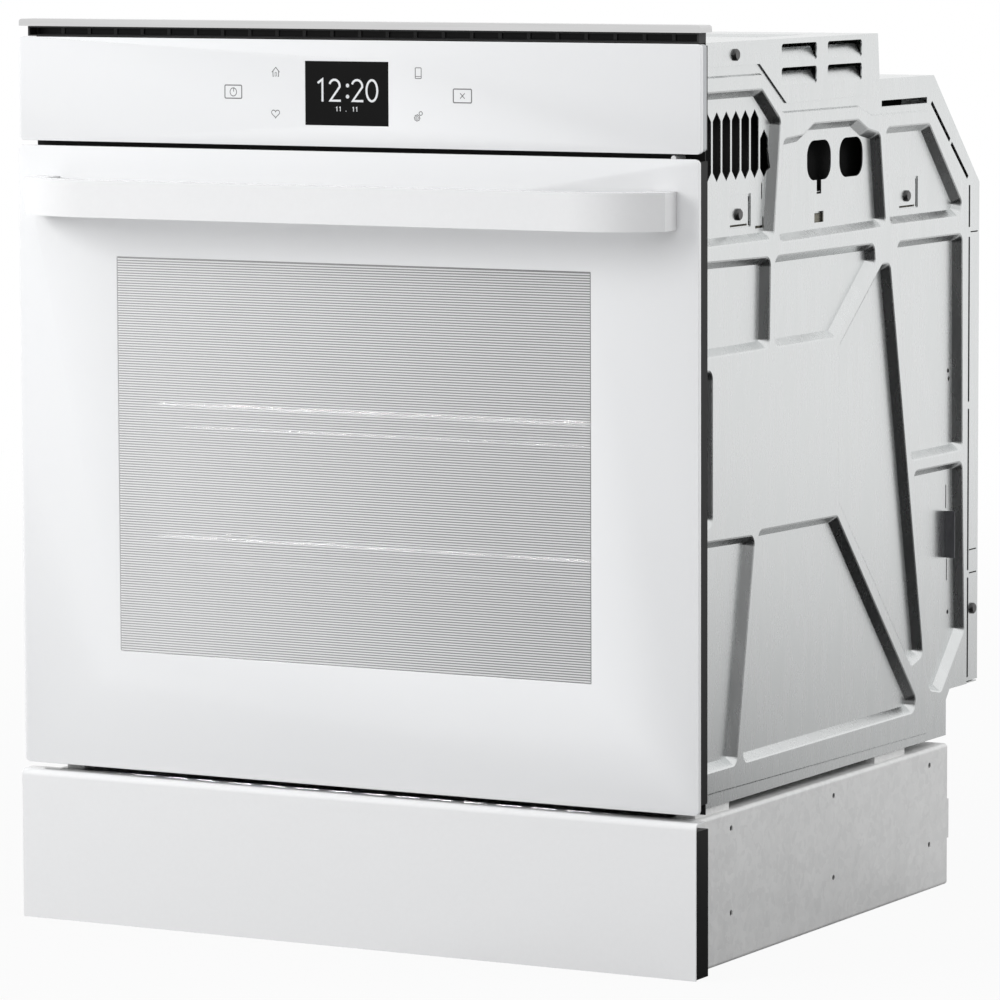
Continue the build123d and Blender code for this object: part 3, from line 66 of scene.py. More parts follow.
camera_data = bpy.data.cameras.new("camera")
camera_data.lens = lens_mm
camera_data.sensor_width = film_width_mm
camera_data.clip_end = 100.0
camera = bpy.data.objects.new("camera", camera_data)
bpy.context.scene.collection.objects.link(camera)
turn = Matrix.Rotation(swing, 4, "Z") @ Matrix.Rotation(math.pi / 2 - tilt_down, 4, "X")
camera.matrix_world = Matrix.Translation(eye) @ turn @ Matrix.Rotation(roll, 4, "Z")
bpy.context.scene.camera = camera
print("camera at", [round(v, 3) for v in eye])

# %% [markdown]
# ## The studio
# The object stands on a white floor in a white room. A white room alone makes metal look flat, because it
# mirrors the same white everywhere. Studios put black cards beside a shiny object, so that its bends show as
# dark lines. Here the world is plain white for rays that reach it straight from the camera. In reflections
# it is white too, except for one soft black card low on the right. Light that falls on matte surfaces comes
# from a third, plainer world: bright overhead, greyer towards the ground and to the right.

# %% World
view_settings = bpy.context.scene.view_settings
view_settings.view_transform = "Standard"
sky_light = (0.87, 0.88, 0.90, 1.0)
ground_light = (0.58, 0.58, 0.58, 1.0)
white_light = (1.0, 1.0, 1.0, 1.0)
card_black = (0.02, 0.02, 0.02, 1.0)
card_way = Vector((0.90, -0.33, -0.28)).normalized()
card_edge, card_core = 0.72, 0.90
light_way = (-0.30, -0.10, 0.95)
dim_below, bright_above = -0.45, 0.80

world = bpy.data.worlds.new("studio")
bpy.context.scene.world = world
world.use_nodes = True
sky = world.node_tree
sky.nodes.clear()


def world_fade(value, low, high, colour_low, colour_high):
    """A colour that fades between two others while a value goes from low to high."""
    ramp = sky.nodes.new("ShaderNodeMapRange")
    ramp.interpolation_type = "SMOOTHSTEP"
    ramp.inputs["From Min"].default_value = low
    ramp.inputs["From Max"].default_value = high
    sky.links.new(value, ramp.inputs["Value"])
    fade = sky.nodes.new("ShaderNodeMix")
    fade.data_type = "RGBA"
    fade.inputs["A"].default_value = colour_low
    fade.inputs["B"].default_value = colour_high
    sky.links.new(ramp.outputs["Result"], fade.inputs["Factor"])
    shade = sky.nodes.new("ShaderNodeBackground")
    sky.links.new(fade.outputs["Result"], shade.inputs["Color"])
    return shade.outputs["Background"]


def world_aim(way):
    """How closely a ray goes along a way: 1 along it, 0 across it."""
    ray = sky.nodes.new("ShaderNodeTexCoord")
    aim = sky.nodes.new("ShaderNodeVectorMath")
    aim.operation = "DOT_PRODUCT"
    aim.inputs[1].default_value = way
    sky.links.new(ray.outputs["Generated"], aim.inputs[0])
    return aim.outputs["Value"]


room_light = world_fade(world_aim(light_way), dim_below, bright_above, ground_light, sky_light)
mirrored_room = world_fade(world_aim(card_way), card_edge, card_core, white_light, card_black)
white_room = world_fade(world_aim((0, 0, 1)), -1.0, 1.0, white_light, white_light)
path = sky.nodes.new("ShaderNodeLightPath")
with_mirror = sky.nodes.new("ShaderNodeMixShader")
seen = sky.nodes.new("ShaderNodeMath")
seen.operation = "MAXIMUM"
with_white = sky.nodes.new("ShaderNodeMixShader")
out = sky.nodes.new("ShaderNodeOutputWorld")
sky.links.new(path.outputs["Is Glossy Ray"], with_mirror.inputs["Fac"])
sky.links.new(room_light, with_mirror.inputs[1])
sky.links.new(mirrored_room, with_mirror.inputs[2])
sky.links.new(path.outputs["Is Camera Ray"], seen.inputs[0])
sky.links.new(path.outputs["Is Transmission Ray"], seen.inputs[1])
sky.links.new(seen.outputs["Value"], with_white.inputs["Fac"])
sky.links.new(with_mirror.outputs["Shader"], with_white.inputs[1])
sky.links.new(white_room, with_white.inputs[2])
sky.links.new(with_white.outputs["Shader"], out.inputs["Surface"])
print("world:", world.name)


# %% [markdown]
# ## Soft boxes
# Two large soft lights shape the oven: one to the front left, which makes the left part of the white front
# a little brighter, and one high on the right for the metal side. Reflections leave them out, because a
# square lamp mirrored in a glass front would draw hard edges on it.

# %% Lamps
def soft_box(name, place, target, size, power):
    """An area lamp at a place, turned towards a target."""
    data = bpy.data.lights.new(name, "AREA")
    data.shape = "SQUARE"
    data.size = size
    data.energy = power
    lamp = bpy.data.objects.new(name, data)
    lamp.visible_glossy = False
    bpy.context.scene.collection.objects.link(lamp)
    way = Vector(target) - Vector(place)
    lamp.matrix_world = Matrix.Translation(place) @ way.to_track_quat("-Z", "Y").to_matrix().to_4x4()
    return lamp


box_size = 1.6
front_watts, side_watts = 62, 30
lamps = [
    soft_box("front_soft_box", (-2.2, -2.4, 1.7), (-0.1, -0.2, 0.4), box_size, front_watts),
    soft_box("side_soft_box", (2.8, 0.6, 2.6), (0.3, 0.1, 0.4), box_size, side_watts),
]
print("lamps:", [lamp.name for lamp in lamps])

# %% [markdown]
# ## The floor
# The floor is one large square. Seen by the camera it is nearly all white glow, and near the oven a little
# of it is matte, which keeps a trace of the shadow. Mirrored in metal it is grey close by, a painted shadow
# of the oven, and white far off, and the black card on the right lies across it too. Both fades read the
# floor's own Object coordinates.

# %% Floor
floor_size = 60
near_reach, far_reach = 0.5, 3.8
# Grey of the floor close to the oven in reflections: a painted shadow of the oven.
near_painted_shadow = 0.50
near_glow = 0.93
card_fade_low, card_fade_high = 0.35, 0.80
matte_grey = 0.45
card_on_floor = Vector((card_way.x, card_way.y, 0)).normalized()
bpy.ops.object.select_all(action="DESELECT")
bpy.ops.mesh.primitive_plane_add(size=floor_size, location=(0, 0, 0))
floor = bpy.context.object
floor.name = "studio_floor"
paper = bpy.data.materials.new("white_paper")
paper.use_nodes = True
tree = paper.node_tree
tree.nodes.clear()


def floor_node(kind, operation=None, *values):
    """A node of the floor's material, with its operation and its plain inputs."""
    node = tree.nodes.new(kind)
    if operation:
        node.operation = operation
    for index, value in values:
        node.inputs[index].default_value = value
    return node


spot = floor_node("ShaderNodeTexCoord")
away = floor_node("ShaderNodeVectorMath", "LENGTH")
aim = floor_node("ShaderNodeVectorMath", "NORMALIZE")
beside = floor_node("ShaderNodeVectorMath", "DOT_PRODUCT", (1, card_on_floor))
far = tree.nodes.new("ShaderNodeMapRange")
card = tree.nodes.new("ShaderNodeMapRange")
for fade, low, high in ((far, near_reach, far_reach), (card, card_fade_low, card_fade_high)):
    fade.interpolation_type = "SMOOTHSTEP"
    fade.inputs["From Min"].default_value = low
    fade.inputs["From Max"].default_value = high
open_floor = floor_node("ShaderNodeMath", "SUBTRACT", (0, 1.0))
far_white = floor_node("ShaderNodeMath", "MULTIPLY_ADD", (1, 1.0 - near_painted_shadow), (2, near_painted_shadow))
mirrored = floor_node("ShaderNodeMath", "MULTIPLY")
seen = floor_node("ShaderNodeLightPath")
plain = floor_node("ShaderNodeMath", "MAXIMUM")
tone = tree.nodes.new("ShaderNodeMix")
tone.data_type = "FLOAT"
tone.inputs["A"].default_value = 1.0
camera_share = floor_node("ShaderNodeMath", "MULTIPLY_ADD", (1, 1.0 - near_glow), (2, near_glow))
seen_share = floor_node("ShaderNodeMath", "MULTIPLY")
share = floor_node("ShaderNodeMath", "MAXIMUM")
matte = floor_node("ShaderNodeBsdfDiffuse")
matte.inputs["Color"].default_value = (matte_grey, matte_grey, matte_grey, 1.0)
glow = floor_node("ShaderNodeEmission")
blend = floor_node("ShaderNodeMixShader")
surface = floor_node("ShaderNodeOutputMaterial")
floor_links = [
    (spot.outputs["Object"], away.inputs[0]),
    (spot.outputs["Object"], aim.inputs[0]),
    (aim.outputs["Vector"], beside.inputs[0]),
    (away.outputs["Value"], far.inputs["Value"]),
    (beside.outputs["Value"], card.inputs["Value"]),
    (card.outputs["Result"], open_floor.inputs[1]),
    (far.outputs["Result"], far_white.inputs[0]),
    (far_white.outputs["Value"], mirrored.inputs[0]),
    (open_floor.outputs["Value"], mirrored.inputs[1]),
    (seen.outputs["Is Glossy Ray"], tone.inputs["Factor"]),
    (mirrored.outputs["Value"], tone.inputs["B"]),
    (tone.outputs["Result"], glow.inputs["Strength"]),
    (far.outputs["Result"], camera_share.inputs[0]),
    (seen.outputs["Is Camera Ray"], plain.inputs[0]),
    (seen.outputs["Is Transmission Ray"], plain.inputs[1]),
    (plain.outputs["Value"], seen_share.inputs[0]),
    (camera_share.outputs["Value"], seen_share.inputs[1]),
    (seen_share.outputs["Value"], share.inputs[0]),
    (seen.outputs["Is Glossy Ray"], share.inputs[1]),
    (share.outputs["Value"], blend.inputs["Fac"]),
    (matte.outputs["BSDF"], blend.inputs[1]),
    (glow.outputs["Emission"], blend.inputs[2]),
    (blend.outputs["Shader"], surface.inputs["Surface"]),
]
for source, target in floor_links:
    tree.links.new(source, target)
floor.data.materials.append(paper)
print("floor:", floor.name)

# %% [markdown]
# ## Shared effects
# Most finishes are one colour that varies a little, with a roughness and a fine relief that vary too. An
# effect that several materials use is a node group with named inputs. It only puts out a mask between 0 and
# 1, and each material decides what to do with it. All groups read Object coordinates, which are metres in
# the oven's own frame, so the pattern stays on the piece when it moves.


# %% Node group helpers
def start_group(name, inputs, outputs):
    """A new shader node group with float inputs and outputs, and its two end nodes."""
    group = bpy.data.node_groups.new(name, "ShaderNodeTree")
    for label, value in inputs:
        socket = group.interface.new_socket(label, in_out="INPUT", socket_type="NodeSocketFloat")
        socket.default_value = value
    for label in outputs:
        group.interface.new_socket(label, in_out="OUTPUT", socket_type="NodeSocketFloat")
    return group, group.nodes.new("NodeGroupInput"), group.nodes.new("NodeGroupOutput")


def stretched_place(group, ends):
    """Object coordinates, each axis multiplied by one of the inputs Stretch X, Y and Z."""
    place = group.nodes.new("ShaderNodeTexCoord")
    factors = group.nodes.new("ShaderNodeCombineXYZ")
    product = group.nodes.new("ShaderNodeVectorMath")
    product.operation = "MULTIPLY"
    for axis in "XYZ":
        group.links.new(ends.outputs["Stretch " + axis], factors.inputs[axis])
    group.links.new(place.outputs["Object"], product.inputs[0])
    group.links.new(factors.outputs["Vector"], product.inputs[1])
    return product.outputs["Vector"]


stretch_inputs = [("Stretch X", 1.0), ("Stretch Y", 1.0), ("Stretch Z", 1.0)]

# %% [markdown]
# **Grain** is plain noise. Stretched along one axis it becomes the lines of brushed or rolled metal, and
# fine and even it is the texture of moulded plastic or wool.

# %% Grain
grain_inputs = [("Size per metre", 60.0), ("Detail", 3.0)] + stretch_inputs
grain, ends, result = start_group("grain", grain_inputs, ["Mask"])
noise = grain.nodes.new("ShaderNodeTexNoise")
grain.links.new(stretched_place(grain, ends), noise.inputs["Vector"])
grain.links.new(ends.outputs["Size per metre"], noise.inputs["Scale"])
grain.links.new(ends.outputs["Detail"], noise.inputs["Detail"])
grain.links.new(noise.outputs["Fac"], result.inputs["Mask"])
print("group:", grain.name)

# %% [markdown]
# **Zinc flowers** are the crystals on galvanised sheet. Voronoi cells whose edges are pushed about by noise
# give each crystal its own brightness. A second layer of soft cloud keeps them from looking like tiles.

# %% Zinc flowers
flower_inputs = [("Flowers per metre", 60.0), ("Crispness", 0.5)]
flowers, ends, result = start_group("zinc_flowers", flower_inputs, ["Mask"])
place = flowers.nodes.new("ShaderNodeTexCoord")
wobble = flowers.nodes.new("ShaderNodeTexNoise")
wobble.inputs["Scale"].default_value = 90.0
wobble.inputs["Detail"].default_value = 3.0
push = flowers.nodes.new("ShaderNodeVectorMath")
push.operation = "MULTIPLY_ADD"
push.inputs[1].default_value = (0.02, 0.02, 0.02)
cells = flowers.nodes.new("ShaderNodeTexVoronoi")
cells.feature = "F1"
spread = flowers.nodes.new("ShaderNodeSeparateColor")
cloud = flowers.nodes.new("ShaderNodeTexNoise")
cloud.inputs["Scale"].default_value = 35.0
cloud.inputs["Detail"].default_value = 4.0
both_layers = flowers.nodes.new("ShaderNodeMix")
both_layers.data_type = "FLOAT"
flowers.links.new(place.outputs["Object"], wobble.inputs["Vector"])
flowers.links.new(wobble.outputs["Color"], push.inputs[0])
flowers.links.new(place.outputs["Object"], push.inputs[2])
flowers.links.new(push.outputs["Vector"], cells.inputs["Vector"])
flowers.links.new(ends.outputs["Flowers per metre"], cells.inputs["Scale"])
flowers.links.new(cells.outputs["Color"], spread.inputs["Color"])
flowers.links.new(place.outputs["Object"], cloud.inputs["Vector"])
flowers.links.new(ends.outputs["Crispness"], both_layers.inputs["Factor"])
flowers.links.new(cloud.outputs["Fac"], both_layers.inputs["A"])
flowers.links.new(spread.outputs["Red"], both_layers.inputs["B"])
flowers.links.new(both_layers.outputs["Result"], result.inputs["Mask"])
print("group:", flowers.name)

# %% [markdown]
# **Specks** are the light dots of oven enamel: the peaks of a fine noise, cut off sharply.

# %% Specks
specks, ends, result = start_group("specks", [("Size per metre", 400.0), ("Share", 0.3)], ["Mask"])
place = specks.nodes.new("ShaderNodeTexCoord")
noise = specks.nodes.new("ShaderNodeTexNoise")
noise.inputs["Detail"].default_value = 1.0
edge = specks.nodes.new("ShaderNodeMath")
edge.operation = "SUBTRACT"
edge.inputs[0].default_value = 0.8
cut = specks.nodes.new("ShaderNodeMapRange")
cut.inputs["To Max"].default_value = 1.0
top = specks.nodes.new("ShaderNodeMath")
top.operation = "ADD"
top.inputs[1].default_value = 0.05
specks.links.new(place.outputs["Object"], noise.inputs["Vector"])
specks.links.new(ends.outputs["Size per metre"], noise.inputs["Scale"])
specks.links.new(ends.outputs["Share"], edge.inputs[1])
specks.links.new(edge.outputs["Value"], cut.inputs["From Min"])
specks.links.new(edge.outputs["Value"], top.inputs[0])
specks.links.new(top.outputs["Value"], cut.inputs["From Max"])
specks.links.new(noise.outputs["Fac"], cut.inputs["Value"])
specks.links.new(cut.outputs["Result"], result.inputs["Mask"])
print("group:", specks.name)

# %% [markdown]
# ** Fade** grows from one end of a piece to the other along X, with a little noise in it. The window uses it
# for a painted reflection: a pale haze that lightens its left side.

# %% Fade
fade, ends, result = start_group("fade", [("Zero at X", 0.2), ("One at X", -0.2), ("Noise", 0.15)], ["Mask"])
place = fade.nodes.new("ShaderNodeTexCoord")
across = fade.nodes.new("ShaderNodeSeparateXYZ")
ramp = fade.nodes.new("ShaderNodeMapRange")
ramp.interpolation_type = "SMOOTHSTEP"
noise = fade.nodes.new("ShaderNodeTexNoise")
noise.inputs["Scale"].default_value = 6.0
both = fade.nodes.new("ShaderNodeMix")
both.data_type = "FLOAT"
fade.links.new(place.outputs["Object"], across.inputs["Vector"])
fade.links.new(across.outputs["X"], ramp.inputs["Value"])
fade.links.new(ends.outputs["Zero at X"], ramp.inputs["From Min"])
fade.links.new(ends.outputs["One at X"], ramp.inputs["From Max"])
fade.links.new(place.outputs["Object"], noise.inputs["Vector"])
fade.links.new(ends.outputs["Noise"], both.inputs["Factor"])
fade.links.new(ramp.outputs["Result"], both.inputs["A"])
fade.links.new(noise.outputs["Fac"], both.inputs["B"])
fade.links.new(both.outputs["Result"], result.inputs["Mask"])
print("group:", fade.name)

# %% [markdown]
# ## From a mask to a finish
# Each material below is a Principled shader. The mask picks a colour between a dark and a light one and a
# roughness between two values, and lifts the surface a little through a Bump node. The plain numbers, such
# as how metallic it is, are set on the shader's own sockets.


# %% Finish helper
def finish(name, group, settings, dark, light, rough, relief=0.0, **sockets):
    """A procedural material whose mask comes from one of the shared groups."""
    material = bpy.data.materials.new(name)
    material.use_nodes = True
    tree = material.node_tree
    shader = tree.nodes["Principled BSDF"]
    mask = tree.nodes.new("ShaderNodeGroup")
    mask.node_tree = group
    for label, value in settings.items():
        mask.inputs[label].default_value = value
    tint = tree.nodes.new("ShaderNodeMix")
    tint.data_type = "RGBA"
    tint.inputs["A"].default_value = (*dark, 1.0)
    tint.inputs["B"].default_value = (*light, 1.0)
    tree.links.new(mask.outputs["Mask"], tint.inputs["Factor"])
    tree.links.new(tint.outputs["Result"], shader.inputs["Base Color"])
    sheen = tree.nodes.new("ShaderNodeMapRange")
    sheen.inputs["To Min"].default_value = rough[0]
    sheen.inputs["To Max"].default_value = rough[1]
    tree.links.new(mask.outputs["Mask"], sheen.inputs["Value"])
    tree.links.new(sheen.outputs["Result"], shader.inputs["Roughness"])
    if relief:
        bump = tree.nodes.new("ShaderNodeBump")
        bump.inputs["Strength"].default_value = 1.0
        bump.inputs["Distance"].default_value = relief
        tree.links.new(mask.outputs["Mask"], bump.inputs["Height"])
        tree.links.new(bump.outputs["Normal"], shader.inputs["Normal"])
    for label, value in sockets.items():
        shader.inputs[label.replace("_", " ")].default_value = value
    return material


def grey(value):
    """A neutral colour."""
    return (value, value, value)


def put_on(material, *names):
    """Gives CAD nodes a finish."""
    for name in names:
        node = nodes[name]
        node.data.materials.clear()
        node.data.materials.append(material)
    print(material.name, "on", ", ".join(names))


# %% [markdown]
# ## Galvanised sheet
# The chassis is steel dipped in zinc. The side panels, the duct cover and the back are smooth-rolled, with
# only faint upright streaks, and mirror the room softly. The filler box below is a duller and paler sheet
# with small, faint zinc flowers, so it is mostly matte. The side clips are darker.

# %% Galvanised sheet
smooth_zinc = finish("smooth_zinc", grain, {"Size per metre": 110.0, "Detail": 4.0, "Stretch Z": 0.2},
                     (0.68, 0.695, 0.695), (0.77, 0.785, 0.785), (0.23, 0.31), Metallic=0.96)
put_on(smooth_zinc, "side_panel_left", "side_panel_right", "cooling_duct_cover", "rear_cover", "top_plate",
       "base_plate", "blower_housing", "lamp_housing", "terminal_box")
flower_zinc = finish("flower_zinc", flowers, {"Flowers per metre": 170.0, "Crispness": 0.35},
                     (0.68, 0.68, 0.675), (0.86, 0.86, 0.85), (0.40, 0.5), Metallic=0.25)
put_on(flower_zinc, "filler_box", "filler_spacers")
clip_zinc = finish("clip_zinc", grain, {"Size per metre": 250.0, "Stretch Z": 0.3},
                   (0.10, 0.10, 0.11), (0.18, 0.18, 0.19), (0.35, 0.5), 0.000005, Metallic=0.9)
put_on(clip_zinc, "side_clips")

# %% [markdown]
# ## Zinc-plated small parts
# Hinges, studs and the sensor are plated, with fine turning lines. The screws are painted nearly black, a
# painted reflection of the dark they mirror, so they read as dark dots on the pale sheet. The motors show the
# edges of their laminations, and the trim on top and the large fan are brushed aluminium.

# %% Plated steel
plated = finish("plated_steel", grain, {"Size per metre": 300.0, "Stretch X": 0.2},
                grey(0.45), grey(0.62), (0.25, 0.4), 0.00001, Metallic=1.0)
put_on(plated, "handle_studs", "hinge_claws", "hinge_receivers", "hinge_bodies", "hinge_pins",
       "temperature_sensor")
# Near-black screw colour: a painted reflection of dark surroundings.
screws_painted_dark = finish("screws_painted_dark", grain, {"Size per metre": 400.0},
                    grey(0.05), grey(0.16), (0.25, 0.4), 0.00001, Metallic=0.9)
put_on(screws_painted_dark, "chassis_screws", "filler_screws")
laminated = finish("laminated_motor", grain, {"Size per metre": 60.0, "Stretch Z": 20.0, "Stretch Y": 20.0},
                   (0.16, 0.16, 0.17), (0.38, 0.37, 0.36), (0.35, 0.6), 0.00005, Metallic=0.8)
put_on(laminated, "convection_motor", "blower_motor")
brushed_aluminium = finish("brushed_aluminium", grain, {"Size per metre": 500.0, "Stretch X": 0.02},
                           grey(0.62), grey(0.74), (0.28, 0.4), 0.00001, Metallic=1.0)
put_on(brushed_aluminium, "top_trim", "convection_fan")

# %% [markdown]
# ## Black paint and black plastic
# The door's frame and the filler's frame are painted satin black. The air outlet, the bracket of the touch
# panel and the blower's wheel are moulded plastic with an even fine grain, as are the pale tray behind the
# touch panel and the door's switch.

# %% Black pieces
black_paint = finish("satin_black_paint", grain, {"Size per metre": 900.0, "Detail": 2.0},
                     grey(0.006), grey(0.010), (0.4, 0.5), 0.00002, Specular_IOR_Level=0.2)
put_on(black_paint, "door_frame_left", "door_frame_right", "door_top_rail", "door_bottom_rail", "door_liner",
       "filler_frame", "front_frame")
black_plastic = finish("black_plastic", grain, {"Size per metre": 1500.0, "Detail": 1.0},
                       grey(0.014), grey(0.03), (0.45, 0.6), 0.00004)
put_on(black_plastic, "vent_channel", "control_carrier", "cooling_impeller")
silicone = finish("black_silicone", grain, {"Size per metre": 700.0},
                  grey(0.02), grey(0.035), (0.6, 0.75), 0.00003)
put_on(silicone, "glass_spacers")
pale_plastic = finish("light_grey_plastic", grain, {"Size per metre": 1500.0, "Detail": 1.0},
                      (0.50, 0.51, 0.52), (0.58, 0.59, 0.60), (0.4, 0.55), 0.00003)
put_on(pale_plastic, "control_frame", "door_switch")
white_plastic = finish("white_plastic", grain, {"Size per metre": 1500.0, "Detail": 1.0},
                       grey(0.70), grey(0.78), (0.35, 0.45), 0.00002)
put_on(white_plastic, "switch_plunger")

# %% [markdown]
# ## White paint
# The handle and the filler panel are painted to match the glass. Paint levels out to a soft gloss, which a
# shallow noise breaks up a little, under a thin clear coat.

# %% White paint
white_paint = finish("white_paint", grain, {"Size per metre": 250.0, "Detail": 1.0},
                     grey(0.80), grey(0.82), (0.16, 0.22), 0.00001, Coat_Weight=0.4)
put_on(white_paint, "door_handle", "filler_panel")

# %% [markdown]
# ## Inside the oven
# The cavity and the fan's tray are dark enamel with pale specks. The racks are chromed wire, the heaters
# have gone matt from heat, and the jacket is mineral wool.

# %% Cavity, heaters and insulation
enamel = finish("speckled_enamel", specks, {"Size per metre": 700.0, "Share": 0.18},
                (0.018, 0.019, 0.022), (0.22, 0.23, 0.25), (0.14, 0.25), 0.00001, Coat_Weight=0.5)
put_on(enamel, "oven_cavity", "convection_baffle")
chrome = finish("chromed_wire", grain, {"Size per metre": 120.0},
                grey(0.74), grey(0.84), (0.20, 0.32), Metallic=0.75)
put_on(chrome, "rack_supports", "rack_upper", "rack_lower")
scaled = finish("heat_scaled_steel", grain, {"Size per metre": 220.0, "Detail": 5.0},
                (0.05, 0.045, 0.045), (0.16, 0.15, 0.15), (0.5, 0.8), 0.00005, Metallic=0.5)
put_on(scaled, "broil_element", "bake_element", "convection_element")
wool = finish("mineral_wool", grain, {"Size per metre": 260.0, "Detail": 6.0, "Stretch Y": 0.5},
              (0.20, 0.19, 0.16), (0.40, 0.38, 0.32), (0.9, 1.0), 0.0012)
put_on(wool, "insulation_blanket")
ceramic = finish("white_ceramic", grain, {"Size per metre": 500.0},
                 (0.62, 0.60, 0.55), (0.74, 0.72, 0.68), (0.5, 0.6), 0.00002)
put_on(ceramic, "thermal_cutout")
woven = finish("woven_seal", grain, {"Size per metre": 500.0, "Detail": 2.0, "Stretch X": 3.0},
               grey(0.03), grey(0.12), (0.8, 0.95), 0.0004)
put_on(woven, "door_gasket")
board = finish("green_board", specks, {"Size per metre": 500.0, "Share": 0.3},
               (0.01, 0.11, 0.04), (0.35, 0.34, 0.20), (0.3, 0.5), 0.00005)
put_on(board, "power_board", "control_board")

# %% [markdown]
# ## Glass inside the door and the lamp
# The middle and inner panes are clear with a faint heat-reflecting layer, and the lamp has a frosted lens and
# a halogen capsule. They let light through by alpha, which is quicker and cleaner to render than refraction
# through many thin panes. The display's own screen is a deep, nearly unmirroring black.

# %% Clear panes
clear_pane = finish("coated_pane", grain, {"Size per metre": 4.0},
                    (0.55, 0.60, 0.58), (0.62, 0.66, 0.66), (0.02, 0.05), Alpha=0.12)
put_on(clear_pane, "door_middle_glass")
dark_pane = finish("inner_pane", grain, {"Size per metre": 4.0},
                   (0.30, 0.31, 0.31), (0.34, 0.35, 0.35), (0.02, 0.05), Alpha=0.15)
put_on(dark_pane, "door_inner_glass")
lamp_glass = finish("lamp_glass", grain, {"Size per metre": 200.0},
                    grey(0.85), grey(0.95), (0.05, 0.15), 0.0003, Alpha=0.35)
put_on(lamp_glass, "lamp_lens")
lit_capsule = finish("lit_capsule", grain, {"Size per metre": 200.0},
                     (0.9, 0.8, 0.6), (1.0, 0.9, 0.7), (0.1, 0.2),
                     Emission_Color=(1.0, 0.85, 0.6, 1.0), Emission_Strength=2.0)
put_on(lit_capsule, "lamp_bulb")
display_black = finish("display_black", grain, {"Size per metre": 20.0},
                       grey(0.003), grey(0.005), (0.04, 0.08), Specular_IOR_Level=0.1)
put_on(display_black, "display_screen")

# %% [markdown]
# ## Modelling helpers
# The new pieces start as a primitive at its size and place. `slab` adds a cube between two corners and
# applies its place and size, so the object itself sits at the origin. `pick_edges` selects edges by a test
# on their two ends, and `use_modifier` adds a modifier and applies it at once. `hand_over` ends the work on a
# piece: it gives it its material, its smooth shading and the body it moves with.


# %% Modelling helpers
same_place = 1e-6
smooth_angle = math.radians(35)
edge_angle = math.radians(50)


def slab(name, low, high):
    """A block between two corners, as a new piece."""
    low, high = Vector(low), Vector(high)
    bpy.ops.object.select_all(action="DESELECT")
    bpy.ops.mesh.primitive_cube_add(size=1, location=(low + high) / 2, scale=high - low)
    piece = bpy.context.object
    piece.name = name
    bpy.ops.object.transform_apply(location=True, rotation=True, scale=True)
    return piece


def pick_edges(piece, test):
    """Selects the edges whose ends pass the test, and leaves the piece in edit mode."""
    bpy.ops.object.mode_set(mode="EDIT")
    bpy.ops.mesh.select_mode(type="EDGE")
    bpy.ops.mesh.select_all(action="DESELECT")
    bpy.ops.object.mode_set(mode="OBJECT")
    points = piece.data.vertices
    for edge in piece.data.edges:
        edge.select = test(points[edge.vertices[0]].co, points[edge.vertices[1]].co)
    bpy.ops.object.mode_set(mode="EDIT")


def use_modifier(piece, kind, **settings):
    """Adds a modifier with these settings and applies it."""
    bpy.ops.object.select_all(action="DESELECT")
    piece.select_set(True)
    bpy.context.view_layer.objects.active = piece
    modifier = piece.modifiers.new(kind.lower(), kind)
    for label, value in settings.items():
        setattr(modifier, label, value)
    bpy.ops.object.modifier_apply(modifier=modifier.name)


def cut_with(piece, cutter):
    """Takes the cutter's volume out of the piece and removes the cutter."""
    use_modifier(piece, "BOOLEAN", operation="DIFFERENCE", object=cutter, solver="EXACT")
    bpy.data.objects.remove(cutter, do_unlink=True)


def round_corners(piece, radius):
    """Rounds the four corners of an upright pane as seen from the front."""
    pick_edges(piece, lambda a, b: abs(a.x - b.x) < same_place and abs(a.z - b.z) < same_place)
    bpy.ops.mesh.bevel(offset=radius, segments=6, affect="EDGES")
    bpy.ops.object.mode_set(mode="OBJECT")


def ease_edges(piece, width):
    """Takes the sharpness off a piece's edges."""
    use_modifier(piece, "BEVEL", width=width, segments=2, limit_method="ANGLE", angle_limit=edge_angle)


def hand_over(piece, body, material):
    """Gives a finished piece its material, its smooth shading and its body."""
    piece.data.materials.clear()
    piece.data.materials.append(material)
    bpy.ops.object.select_all(action="DESELECT")
    piece.select_set(True)
    bpy.context.view_layer.objects.active = piece
    bpy.ops.object.shade_smooth_by_angle(angle=smooth_angle)
    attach(piece, body)
    print(piece.name, len(piece.data.polygons), "faces")


# %% [markdown]
# ## White printed glass
# The door's outer pane and the touch panel are clear glass with white enamel behind, so they look white and
# deep, with a hard clear gloss on top. That is a white base under a full coat. The border of the door is one
# slab with the window cut out of it, rounded at its corners and eased along its edges.

# %% Door glass
white_glass = finish("white_glass", grain, {"Size per metre": 6.0, "Detail": 1.0},
                     (0.80, 0.805, 0.81), (0.83, 0.832, 0.835), (0.03, 0.05),
                     Coat_Weight=1.0, Coat_Roughness=0.02)
ease = 0.0007
door_corner, panel_corner = 0.004, 0.003
cutter_reach = Vector((0, 0.01, 0))
border_side, border_end = 0.022, 0.020
glass_low, glass_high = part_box("door_outer_glass")
pane_low, pane_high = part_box("door_middle_glass")
window_low = Vector((pane_low.x + border_side, glass_low.y, pane_low.z + border_end))
window_high = Vector((pane_high.x - border_side, glass_high.y, pane_high.z - border_end))

door_border = slab("door_glass_border", glass_low, glass_high)
round_corners(door_border, door_corner)
cut_with(door_border, slab("window_cutter", window_low - cutter_reach, window_high + cutter_reach))
ease_edges(door_border, ease)
hand_over(door_border, "door", white_glass)
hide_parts("door_outer_glass")
